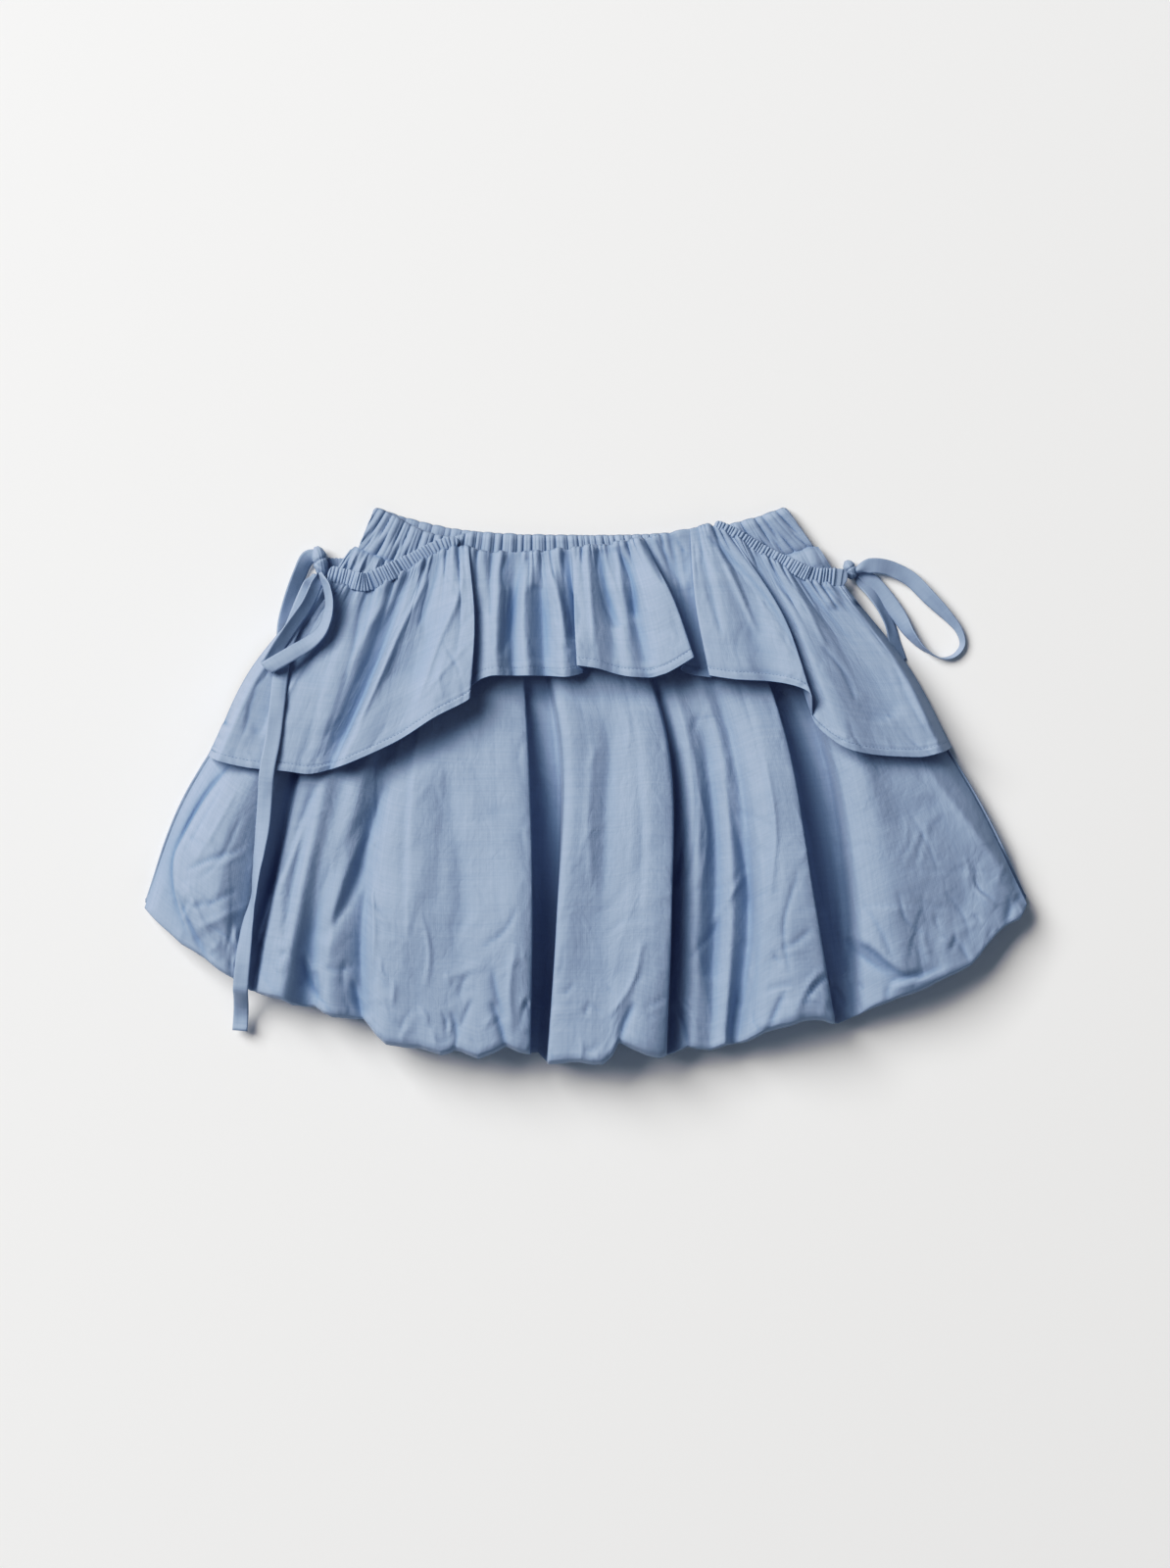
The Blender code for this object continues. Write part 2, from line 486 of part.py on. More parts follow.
def build_skirt():
    for old in list(bpy.data.objects):
        bpy.data.objects.remove(old, do_unlink=True)
    collection = bpy.data.collections.new("elastic_waist_skirt")
    bpy.context.scene.collection.children.link(collection)

    shell = front_shell_points(np.array(SHELL_ROWS), 3, 2, 2)
    add_sheet(collection, "shell_front", shell, CLOTH_WALL)
    back = back_shell_points(BACK_UPPER_ROWS, BACK_LOWER_ROWS, 4, 36)
    add_sheet(collection, "shell_back", back, CLOTH_WALL)

    front_band = band_points(BAND_FRONT_Z, 3)
    add_sheet(collection, "waistband_front", front_band, CASING_WALL)
    add_sheet(collection, "waistband_back", band_points(BAND_BACK_Z, 3), CASING_WALL)

    fine_shell = front_shell_points(np.linspace(0, 1, 60), 3, 2, 4).reshape(-1, 3)
    cover = np.vstack([fine_shell, front_band.reshape(-1, 3) + (0, 0, CASING_WALL / 2)])
    flounce = front_flounce_points(cover, np.array(FLOUNCE_ROWS), 2)
    add_sheet(collection, "flounce_front", flounce, CLOTH_WALL)
    add_sheet(collection, "flounce_back", back_flounce_points(np.linspace(0, 1, 6), 4), CLOTH_WALL)

    def on_cover(x, y):
        return np.maximum(cover_height(cover, x, y, CASING_REACH) + CASING_LIFT, CASING_LOWEST_Z)

    def on_floor(x, y):
        return np.full(len(x), FLOOR_LAYER + BACK_CASING_WAVE)

    back_edge = [EdgePoint(fold.top_x, fold.top_y) for fold in BACK_FLOUNCE_FOLDS]
    for name, edge, ends, widths in (
            ("casing_left_front", FLOUNCE_TOP, (-186, -93), (12.5, 12, 7)),
            ("casing_right_front", FLOUNCE_TOP, (93, 184.6), (6, 8, 13))):
        strip = casing_points(edge, ends, widths, CASING_GATHERS, CASING_WAVE, on_cover)
        add_sheet(collection, name, strip, CASING_WALL)
    for name, ends in (("casing_left_back", (-187, -150)), ("casing_right_back", (150, 187))):
        strip = casing_points(back_edge, ends, (7, 7, 7), BACK_CASING_GATHERS, BACK_CASING_WAVE, on_floor)
        add_sheet(collection, name, strip, CLOTH_WALL)

    add_knot(collection, "tie_left_knot", LEFT_KNOT)
    add_knot(collection, "tie_right_knot", RIGHT_KNOT)
    fine_flounce = front_flounce_points(cover, np.linspace(0, 1, 30), 4).reshape(-1, 3)
    cover = np.vstack([cover, fine_flounce])
    for name, rows in (
            ("tie_left_under", LEFT_UNDER_TIE), ("tie_right_under", RIGHT_UNDER_TIE),
            ("tie_left_tail", LEFT_TAIL), ("tie_left_loop", LEFT_LOOP), ("tie_right_loop", RIGHT_LOOP)):
        under = name.endswith("under")
        strip = tie_points(rows, cover[:0] if under or "right" in name else cover, 2)
        add_sheet(collection, name, strip, TIE_WALL)
        cover = np.vstack([cover, strip.reshape(-1, 3)])


build_skirt()
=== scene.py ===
import math
from collections import namedtuple

import bmesh
import bpy
import numpy as np
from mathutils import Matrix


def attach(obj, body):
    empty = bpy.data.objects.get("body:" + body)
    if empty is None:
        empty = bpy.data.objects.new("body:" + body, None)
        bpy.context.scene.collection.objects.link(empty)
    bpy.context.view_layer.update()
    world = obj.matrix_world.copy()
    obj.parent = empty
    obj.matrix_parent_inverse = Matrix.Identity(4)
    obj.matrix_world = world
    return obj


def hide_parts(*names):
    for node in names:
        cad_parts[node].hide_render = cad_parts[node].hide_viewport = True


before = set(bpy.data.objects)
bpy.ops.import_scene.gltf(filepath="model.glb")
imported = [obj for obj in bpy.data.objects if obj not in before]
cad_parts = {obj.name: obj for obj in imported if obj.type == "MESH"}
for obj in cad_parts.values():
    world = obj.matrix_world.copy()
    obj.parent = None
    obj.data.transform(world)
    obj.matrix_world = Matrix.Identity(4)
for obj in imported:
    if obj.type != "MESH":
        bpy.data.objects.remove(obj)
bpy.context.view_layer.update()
mm = 0.001


# Shader building: expressions on wires add Math nodes

class Wire:
    def __init__(self, board, socket):
        self.board = board
        self.socket = socket

    def maths(self, operation, other, flipped=False):
        first, second = (other, self) if flipped else (self, other)
        return self.board.node("ShaderNodeMath", {"operation": operation}, {0: first, 1: second})

    def __add__(self, other):
        return self.maths("ADD", other)

    def __radd__(self, other):
        return self.maths("ADD", other, True)

    def __sub__(self, other):
        return self.maths("SUBTRACT", other)

    def __rsub__(self, other):
        return self.maths("SUBTRACT", other, True)

    def __mul__(self, other):
        return self.maths("MULTIPLY", other)

    def __rmul__(self, other):
        return self.maths("MULTIPLY", other, True)

class Board:
    def __init__(self, name):
        self.material = bpy.data.materials.new(name)
        self.material.use_nodes = True
        self.tree = self.material.node_tree
        self.shader = self.tree.nodes["Principled BSDF"]

    def find(self, sockets, key):
        if isinstance(key, int):
            return sockets[key]
        for socket in sockets:
            if socket.identifier == key:
                return socket
        return sockets[key]

    def feed(self, socket, value):
        if isinstance(value, Wire):
            self.tree.links.new(value.socket, socket)
        else:
            socket.default_value = value

    def node(self, kind, settings=None, sockets=None, out=0):
        made = self.tree.nodes.new(kind)
        for key, value in (settings or {}).items():
            setattr(made, key, value)
        for key, value in (sockets or {}).items():
            self.feed(self.find(made.inputs, key), value)
        return Wire(self, self.find(made.outputs, out))

    def shade(self, **sockets):
        for key, value in sockets.items():
            self.feed(self.shader.inputs[key.replace("_", " ")], value)

    def stretched(self, vector, across, down):
        sizes = (across, down, 1)
        return self.node("ShaderNodeVectorMath", {"operation": "MULTIPLY"}, {0: vector, 1: sizes})

    def noise(self, vector, scale, detail=2.0, rough=0.5, out="Fac"):
        return self.node("ShaderNodeTexNoise", {"noise_dimensions": "3D"}, {
            "Vector": vector, "Scale": scale, "Detail": detail, "Roughness": rough}, out)

    def mixed(self, share, first, second):
        return self.node("ShaderNodeMix", {"data_type": "RGBA"}, {
            "Factor_Float": share, "A_Color": first, "B_Color": second}, "Result_Color")


# All cloth is one crisp slubbed plain weave; scales are per metre of cloth, reliefs in millimetres
clothLook = {
    # light and deep are the cloth's own mottled tones; fold is the painted shade colour for folds, folded
    # edges and narrow troughs
    "light": (0.332, 0.398, 0.518, 1), "deep": (0.266, 0.330, 0.448, 1), "fold": (0.145, 0.218, 0.356, 1),
    "threads": 1500, "threadWander": 0.6, "threadRelief": 0.035,
    "slubs": 620, "slubLength": 14, "slubRelief": 0.055, "slubShade": 0.75, "slubRoughness": 0.12,
    "blotches": 26, "blotchShade": 0.35, "shadeOffset": 0.45, "bends": 18, "bendReach": 0.02,
    "crinkles": 46, "crinkleRelief": 1.4, "facets": 34, "facetRib": 0.11, "facetRelief": 0.12,
    "patches": 11, "patchFrom": 0.44, "patchTo": 0.62,
    "roughness": 0.72, "sheen": 0.12, "sheenRoughness": 0.4,
}


def clothMaterial(name, crinkle=1.0, tint=1.0):
    look = clothLook
    board = Board(name)
    grid = board.node("ShaderNodeUVMap", {"uv_map": "clothGrid"})
    warp = board.noise(board.stretched(grid, look["slubs"], look["slubLength"]), 1, 1)
    weft = board.noise(board.stretched(grid, look["slubLength"], look["slubs"]), 1, 1)
    blotch = board.noise(grid, look["blotches"], 3)
    ends, picks = [board.node("ShaderNodeTexWave", {"wave_type": "BANDS", "bands_direction": way}, {
        "Vector": grid, "Scale": look["threads"] / math.tau, "Distortion": look["threadWander"]}, "Fac")
        for way in "XY"]
    bend = board.noise(grid, look["bends"], 2, out="Color")
    warped = board.node("ShaderNodeVectorMath", {"operation": "MULTIPLY_ADD"}, {
        0: bend, 1: (look["bendReach"], look["bendReach"], 0), 2: grid})
    facet = board.node("ShaderNodeTexVoronoi", {"feature": "DISTANCE_TO_EDGE"}, {
        "Vector": board.stretched(warped, 1.25, 0.8), "Scale": look["facets"]}, "Distance")
    rib = board.node("ShaderNodeMapRange", {"interpolation_type": "SMOOTHERSTEP"}, {
        "Value": facet, "From Min": 0, "From Max": look["facetRib"], "To Min": 1, "To Max": 0}, "Result")
    patch = board.node("ShaderNodeMapRange", {"interpolation_type": "SMOOTHSTEP"}, {
        "Value": board.noise(grid, look["patches"], 1),
        "From Min": look["patchFrom"], "From Max": look["patchTo"]}, "Result")
    wrinkle = board.noise(board.stretched(warped, 1.2, 0.75), look["crinkles"], 3, 0.6)
    soft = board.node("ShaderNodeMath", {"operation": "ABSOLUTE"}, {0: wrinkle - 0.5})
    relief = ends * picks * look["threadRelief"] + (warp + weft) * look["slubRelief"]
    relief = relief + soft * (look["crinkleRelief"] * crinkle) + rib * patch * (look["facetRelief"] * crinkle)
    bump = board.node("ShaderNodeBump", None, {"Height": relief, "Strength": 1, "Distance": mm}, "Normal")
    shade = (warp + weft) * look["slubShade"] + blotch * look["blotchShade"] - look["shadeOffset"]
    colours = (look["light"], look["deep"], look["fold"])
    light, deep, fold = [tuple(part * tint for part in colour[:3]) + (1,) for colour in colours]
    # painted shade: cloth deep in folds, along folded edges and in narrow troughs is mixed towards the darker,
    # bluer fold colour
    paintedShade = board.node("ShaderNodeAttribute", {"attribute_name": "paintedShade"}, None, "Fac")
    board.shade(
        Base_Color=board.mixed(paintedShade, board.mixed(shade, deep, light), fold), Normal=bump,
        Roughness=warp * look["slubRoughness"] + look["roughness"],
        Sheen_Weight=look["sheen"], Sheen_Roughness=look["sheenRoughness"])
    return board.material


# Cloth geometry

def betweenKnots(t, starts, startSlopes, ends, endSlopes):
    return ((2 * t**3 - 3 * t**2 + 1) * starts + (t**3 - 2 * t**2 + t) * startSlopes
            + (3 * t**2 - 2 * t**3) * ends + (t**3 - t**2) * endSlopes)


def curveThrough(knots, values, at):
    knots, values, at = [np.asarray(part, dtype=float) for part in (knots, values, at)]
    slopes = np.gradient(values, knots, axis=0)
    low = np.clip(np.searchsorted(knots, at, side="right") - 1, 0, len(knots) - 2)
    shape = (-1,) + (1,) * (values.ndim - 1)
    width = (knots[low + 1] - knots[low]).reshape(shape)
    t = (at - knots[low]).reshape(shape) / width
    return betweenKnots(t, values[low], width * slopes[low], values[low + 1], width * slopes[low + 1])


def crispCurve(values, at):
    # a curve that keeps its crests and valleys where the folds put them, with crisp shoulders
    values = np.asarray(values, dtype=float)
    step = np.diff(values, axis=0)
    slopes = np.zeros_like(values)
    product = step[:-1] * step[1:]
    total = step[:-1] + step[1:]
    slopes[1:-1] = np.where(product > 0, 2 * product / np.where(np.abs(total) < 1e-12, 1, total), 0)
    slopes[0] = step[0]
    slopes[-1] = step[-1]
    low = np.clip(np.floor(at).astype(int), 0, len(values) - 2)
    t = (at - low).reshape((-1,) + (1,) * (values.ndim - 1))
    return betweenKnots(t, values[low], slopes[low], values[low + 1], slopes[low + 1])


def acrossFolds(lines, columns, row):
    # sections through the fold lines, with columns spaced evenly along the section at the given row
    lines = np.array(lines)
    dense = np.linspace(0, len(lines) - 1, (len(lines) - 1) * 24 + 1)
    length = lengthAlong(crispCurve(lines[:, row], dense))
    at = np.interp(np.linspace(0, length[-1], columns + 1), length, dense)
    return crispCurve(lines, at).transpose(1, 0, 2)


def lengthAlong(line):
    return np.concatenate([[0], np.cumsum(np.linalg.norm(np.diff(line, axis=0), axis=1))])


def unit(vectors):
    return vectors / np.maximum(np.linalg.norm(vectors, axis=-1, keepdims=True), 1e-12)


def smoothStep(value):
    value = np.clip(value, 0, 1)
    return value * value * (3 - 2 * value)


def softNoise(u, v, sizeU, sizeV, seed, turn=0.0):
    # smooth value noise between -1 and 1 with the given grain
    draw = np.random.default_rng(seed)
    a = (u * math.cos(turn) - v * math.sin(turn)) / sizeU
    b = (u * math.sin(turn) + v * math.cos(turn)) / sizeV
    a = a - a.min()
    b = b - b.min()
    lattice = draw.uniform(-1, 1, (int(a.max()) + 3, int(b.max()) + 3))
    i = a.astype(int)
    j = b.astype(int)
    s = smoothStep(a - i)
    t = smoothStep(b - j)
    low = lattice[i, j] * (1 - s) + lattice[i + 1, j] * s
    high = lattice[i, j + 1] * (1 - s) + lattice[i + 1, j + 1] * s
    return low * (1 - t) + high * t


def crumple(u, v, grain, seed, turn=0.0):
    # soft creases where handled cloth has been folded: ridges and troughs that wander and cross
    bendU = u + softNoise(u, v, grain * 2.3, grain * 2.3, seed + 1) * grain * 0.5
    bendV = v + softNoise(u, v, grain * 2.1, grain * 2.1, seed + 2) * grain * 0.5
    ridge = 0.35 - np.abs(softNoise(bendU, bendV, grain, grain * 1.7, seed + 3, turn))
    trough = np.abs(softNoise(bendU, bendV, grain * 1.2, grain * 1.6, seed + 4, turn + 0.9)) - 0.35
    return ridge + trough


def sagging(u, v, shape):
    # long soft sags and the creases of handled cloth, in millimetres
    sag = sum(softNoise(u, v, across, down, seed) * height for across, down, height, seed in shape["sags"])
    crumples = shape["crumples"]
    return sag + sum(crumple(u, v, grain, seed, turn) * height for grain, height, seed, turn in crumples)


def besideLine(x, y, line):
    # distance to a polyline, the side it is on, and how far along it is
    nearest = np.full(x.shape, 1e9)
    side = np.zeros(x.shape)
    share = np.zeros(x.shape)
    steps = np.linalg.norm(np.diff(line, axis=0), axis=1)
    done = 0.0
    for start, end, length in zip(line[:-1], line[1:], steps):
        dx, dy = (end - start) / length
        along = np.clip((x - start[0]) * dx + (y - start[1]) * dy, 0, length)
        offX = x - start[0] - dx * along
        offY = y - start[1] - dy * along
        distance = np.hypot(offX, offY)
        closer = distance < nearest
        nearest = np.where(closer, distance, nearest)
        side = np.where(closer, np.where(dx * offY - dy * offX > 0, 1.0, -1.0), side)
        share = np.where(closer, (done + along) / steps.sum(), share)
        done += length
    return nearest, side, share


def smoothLine(points, count=24):
    points = np.array(points, dtype=float) * mm
    knots = lengthAlong(points)
    return curveThrough(knots, points, np.linspace(0, knots[-1], count)) if len(points) > 2 else points


# Creases: how far their ground reaches beyond them, and how dark the painted shade along folded edges and
# narrow troughs gets
creaseLook = {
    "padWidths": 5, "pad": 4, "steepest": 40, "litSide": 0.8, "shadySide": 6, "edgeDepth": 16,
    "troughDepth": 12, "widestDark": 4.5, "darkest": 0.45, "bow": 0.35,
}


def pressLines(points, lines, weight):
    # troughs (depth under 0) and ridges (over 0) laid one by one; a reach makes a folded edge that stands
    # proud on the left of its line and fades out over that reach; gives back how shaded each point gets
    look = creaseLook
    shade = np.zeros(points.shape[:2])
    x, y = points[..., 0], points[..., 1]
    for width, depth, reach, path in lines:
        line = smoothLine(path)
        pad = (max(reach, width * look["padWidths"]) + look["pad"]) * mm
        near = ((x > line[:, 0].min() - pad) & (x < line[:, 0].max() + pad)
                & (y > line[:, 1].min() - pad) & (y < line[:, 1].max() + pad))
        if not near.any():
            continue
        distance, side, share = besideLine(x[near], y[near], line)
        ends = np.sqrt(np.clip(np.sin(np.pi * share), 0, 1))
        if reach:
            signed = distance * side / mm
            step = 1 / (1 + np.exp(-np.clip(signed / width, -look["steepest"], look["steepest"])))
            form = step * np.exp(-np.maximum(signed, 0) / reach)
            fade = np.where(signed > 0, look["litSide"], look["shadySide"])
            dark = np.exp(-np.abs(signed) / fade) * depth / look["edgeDepth"]
        else:
            form = 1 / (1 + (distance / (width * mm))**2)**1.5
            dark = form**2 * max(-depth, 0) / look["troughDepth"] * (width < look["widestDark"])
        points[near, 2] += depth * mm * form * ends * weight[near]
        # painted shade: a dark band along each folded edge, wide on its lower side, and along each narrow
        # trough
        shade[near] = np.maximum(shade[near], np.clip(dark, 0, look["darkest"]) * ends)
    return shade


def scatterLines(points, weight, look):
    # small creases of the handled cloth, each with its own bend; seeded
    draw = np.random.default_rng(look["seed"])
    rows, columns = points.shape[:2]
    lines = []
    for _ in range(look["count"]):
        row = draw.integers(int(rows * look["rows"][0]), int(rows * look["rows"][1]))
        column = draw.integers(2, columns - 2)
        centre = points[row, column, :2] / mm
        heading = points[min(row + 4, rows - 1), column, :2] - points[row - 4, column, :2]
        turn = math.atan2(heading[1], heading[0]) + draw.normal() * look["spread"]
        half = draw.uniform(*look["length"]) / 2
        way = np.array([math.cos(turn), math.sin(turn)]) * half
        bow = np.array([-way[1], way[0]]) * draw.uniform(-creaseLook["bow"], creaseLook["bow"])
        depth = draw.uniform(*look["depth"]) * draw.choice([-1, 1])
        width = draw.uniform(*look["width"])
        lines.append((width, depth, 0, [centre - way, centre + bow, centre + way]))
    pressLines(points, lines, weight)


def unevenPlaces(start, end, pitch, spread, seed):
    draw = np.random.default_rng(seed)
    steps = pitch * (1 + spread * draw.uniform(-1, 1, int((end - start) / pitch) + 1))
    places = np.concatenate([[0], np.cumsum(steps)])
    return start + places / places[-1] * (end - start)


def ruffle(places, valleys, seed, sharp=0.55):
    # rounded puffs between sharp valleys, each of its own height
    draw = np.random.default_rng(seed)
    rise = draw.uniform(0.45, 1, len(valleys))
    slot = np.clip(np.searchsorted(valleys, places) - 1, 0, len(valleys) - 2)
    share = np.clip((places - valleys[slot]) / (valleys[slot + 1] - valleys[slot]), 0, 1)
    return rise[slot] * np.sin(np.pi * share)**sharp


def coverHeight(cover, x, y, reach):
    heights = np.zeros(len(x))
    for index in range(len(x)):
        near = np.hypot(cover[:, 0] - x[index], cover[:, 1] - y[index]) < reach
        if near.any():
            heights[index] = cover[near, 2].max()
    return heights


def bridged(heights, passes):
    heights = np.array(heights)
    for _ in range(passes):
        for axis in range(heights.ndim):
            first = np.take(heights, [0], axis)
            last = np.take(heights, [-1], axis)
            padded = np.concatenate([first, heights, last], axis)
            count = heights.shape[axis]
            before = np.take(padded, range(count), axis)
            after = np.take(padded, range(2, count + 2), axis)
            heights = np.maximum(heights, (before + after) / 2)
    return heights


def blurred(values, count, axis):
    pad = [(0, 0)] * values.ndim
    pad[axis] = (count + 1, count)
    total = np.cumsum(np.pad(values, pad, mode="edge"), axis=axis)
    size = 2 * count + 1
    high = np.take(total, range(size, total.shape[axis]), axis)
    low = np.take(total, range(0, total.shape[axis] - size), axis)
    return (high - low) / size


# Painted fold shade: how far around a point its height is compared, and the depth that is painted fully dark,
# in metres
foldShadeReaches = ((0.002, 0.003), (0.004, 0.006), (0.015, 0.014))


def paintedFoldShade(points, grain):
    # how deep each point lies in the folds around it, from 0 to 1, which is the share of painted shade it gets
    z = points[..., 2]
    paintedShade = np.zeros(z.shape)
    for reach, depth in foldShadeReaches:
        around = z
        for axis in (0, 1):
            pitch = np.median(np.linalg.norm(np.diff(points, axis=axis), axis=2))
            around = blurred(around, int(np.clip(reach / pitch, 1, z.shape[axis] // 3)), axis)
        paintedShade = np.maximum(paintedShade, np.clip((around - z) / (depth * grain), 0, 1))
    return paintedShade


def placePiece(name, mesh, material, node=None):
    mesh.materials.append(material)
    mesh.shade_smooth()
    piece = bpy.data.objects.new(name, mesh)
    bpy.context.scene.collection.objects.link(piece)
    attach(piece, "root")
    if node:
        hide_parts(node)
    return piece


def makeSheet(node, points, wall, material, joined=False, grain=1.0, shade=0.0):
    # a grid of cloth that takes the place of one node of the part; joined closes it into a tube
    rows, columns = points.shape[:2]
    corner = np.arange(rows * columns).reshape(rows, columns)
    faces = np.stack([corner[:-1, :-1], corner[1:, :-1], corner[1:, 1:], corner[:-1, 1:]], -1).reshape(-1, 4)
    if joined:
        seam = np.stack([corner[-1, :-1], corner[0, :-1], corner[0, 1:], corner[-1, 1:]], -1)
        faces = np.vstack([faces, seam])
    mesh = bpy.data.meshes.new(node + "_cloth")
    mesh.from_pydata(points.reshape(-1, 3).tolist(), [], faces.tolist())
    across = lengthAlong(points[rows // 2])
    down = lengthAlong(points[:, columns // 2])
    grid = np.dstack(np.meshgrid(across, down)).reshape(-1, 2)
    corners = np.empty(len(mesh.loops), dtype=int)
    mesh.loops.foreach_get("vertex_index", corners)
    mesh.uv_layers.new(name="clothGrid").data.foreach_set("uv", grid[corners].ravel())
    # painted shade: the depth in the folds plus the given crease and slit shade, kept on the mesh for the
    # cloth colour
    mesh.attributes.new("paintedShade", "FLOAT", "POINT").data.foreach_set(
        "value", np.clip(paintedFoldShade(points, grain) + shade, 0, 1).ravel())
    piece = placePiece(node + "_cloth", mesh, material, node)
    if wall:
        solid = piece.modifiers.new("Wall", "SOLIDIFY")
        solid.thickness = wall * mm
        solid.offset = 0
    return piece


# Waist: the two halves of the elastic band; shares run from -1 to 1 along it and 0 to 1 down it
bandShape = {
    "centreX": -3.5, "halfTop": 148.5, "flare": 15.5, "middleY": 178.5, "endRise": 21, "height": 31,
    "backZ": 3.4, "frontZ": 6.8, "settle": 0.9, "seamGap": 0.5, "columns": 640, "rows": 24, "wall": 0.9,
    "frontPuff": 4.6, "backPuff": 2.0, "frontSeed": 51, "backSeed": 61, "foldShadeGrain": 0.5,
    "frontSink": 6.5, "sinkStart": -0.97, "sinkEnd": -0.5, "cornerShare": 0.025, "cornerDrop": 3,
    "endLean": 9, "gathersTo": 160, "pitch": 6.8, "lowerPitch": 0.86, "finePitch": 2.9, "spread": 0.5,
    "sharp": 0.42, "fineShare": 0.2, "blendFrom": 0.35, "blendOver": 0.4, "edgeShare": 0.14,
    "edgePuff": 0.45, "scallop": 1.1,
}


def bandEdgeY(x, drop):
    half = (bandShape["halfTop"] + bandShape["flare"] * drop / bandShape["height"]) * mm
    across = np.abs((x - bandShape["centreX"] * mm) / half)
    return (bandShape["middleY"] + bandShape["endRise"] * np.minimum(across, 1.15)**3 - drop) * mm


def bandGathers(places, pitch, seed, sharp=0.55):
    reach = bandShape["gathersTo"]
    return ruffle(places, unevenPlaces(-reach, reach, pitch, bandShape["spread"], seed), seed, sharp)


def bandPoints(middleZ, rise, seed, sink=0.0):
    shape = bandShape
    across = np.linspace(-1, 1, shape["columns"] + 1)
    drop = np.linspace(0, 1, shape["rows"] + 1)[:, None]
    x = (shape["centreX"] * (1 - drop) + (shape["halfTop"] + shape["flare"] * drop) * across) * mm
    y = bandEdgeY(x, shape["height"] * drop)
    # the front half sinks a little below the back one near its left end, so that half's inner side shows
    sinking = smoothStep((across - shape["sinkStart"]) / 0.25)
    sinking = sinking * smoothStep((shape["sinkEnd"] - across) / 0.14)
    y = y - sink * mm * sinking * (1 - drop * 0.6)
    corner = np.clip(1 - (1 - np.abs(across)) / shape["cornerShare"], 0, 1)
    y = y - shape["cornerDrop"] * mm * corner**2 * (1 - drop)
    places = across[None, :] * shape["halfTop"] - shape["endLean"] * drop * across**7
    upper = bandGathers(places, shape["pitch"], seed, shape["sharp"])
    lower = bandGathers(places, shape["pitch"] * shape["lowerPitch"], seed + 1, shape["sharp"])
    fine = bandGathers(places, shape["finePitch"], seed + 2)
    blend = smoothStep((drop - shape["blendFrom"]) / shape["blendOver"])
    puff = upper * (1 - blend) + lower * blend
    inner = 1 - np.clip(1 - np.minimum(drop, 1 - drop) / shape["edgeShare"], 0, 1)**2
    height = puff * (1 - shape["fineShare"]) + fine * shape["fineShare"]
    height = height * (shape["edgePuff"] + (1 - shape["edgePuff"]) * inner)
    z = middleZ - shape["settle"] + rise * height - shape["settle"] * (1 - inner)
    y = y + (puff - 0.5) * shape["scallop"] * mm * (1 - inner) * np.where(drop < 0.5, 1, -1)
    return np.dstack([x, y, z * mm + 0 * x])


# Skirt shell: the folds of the front, left to right, with a balloon hem rolled under. Heights and places
# are in millimetres, and lengths along the cloth, such as fades and grains, in metres
shellShape = {
    "returnZ": 12.5, "returnLength": 26, "returnTaper": 0.06, "smallestRoll": 5, "rollDepth": 0.32,
    "upper": 0.35, "belly": 0.72, "columns": 620, "rows": 130, "rollRows": 14, "returnRows": 4,
    "crowding": 0.92, "evenAt": 0.75, "scallopsFrom": 0.62, "pressedRoll": 0.6, "sideFade": 0.004,
    "lowest": 6, "tuck": 3.5, "tuckLength": 0.02, "tuckSide": 0.014,
    "topPuff": 3.4, "topPuffAt": 0.012, "topPuffLength": 0.008, "topDip": 1.0, "topDipLength": 0.003,
    "seamFade": 0.004, "seamEnds": (-0.164, 0.163), "gathersTo": 160, "gatherSpread": 0.45, "gatherLow": 0.5,
    "bunchX": -0.126, "bunchY": 0.138, "bunchFadeX": 0.016, "bunchFadeY": 0.01, "bunchHeight": 2.4,
    "bunchRuffle": 3.4, "bunchGrain": (0.008, 0.011), "bunchSeed": 14, "bunchTurn": 0.5,
    "puckerSpread": 0.5, "puckerLow": 0.55, "puckerPull": 0.3,
    # gathers at the waist and puckers at the hem: pitch, length that they run out over, height, seed
    "gathers": ((7.5, 0.035, 1.8, 3), (12, 0.07, 1.8, 4), (21, 0.12, 1.5, 5)),
    "puckers": ((0.009, 0.006, 0.9, 6), (0.019, 0.012, 2.2, 7), (0.036, 0.026, 2.2, 8)),
    # sags: grain across and down, height, seed; crumples: grain, height, seed, turn
    "sags": ((0.034, 0.075, 1.1, 11), (0.018, 0.03, 0.4, 12)),
    "crumples": ((0.038, 1.3, 13, 0), (0.019, 0.35, 23, 0.5)),
    "smallCreases": (
        {"seed": 21, "count": 170, "rows": (0.22, 0.86), "spread": 1.0, "length": (12, 42),
         "width": (1.4, 3.4), "depth": (0.2, 0.75)},
        {"seed": 23, "count": 120, "rows": (0.74, 0.89), "spread": 0.7, "length": (7, 24),
         "width": (1.1, 2.4), "depth": (0.6, 1.7)},
    ),
}
ShellFold = namedtuple("ShellFold", "name waistX upperX bellyX hemX upperZ bellyZ hemZ")
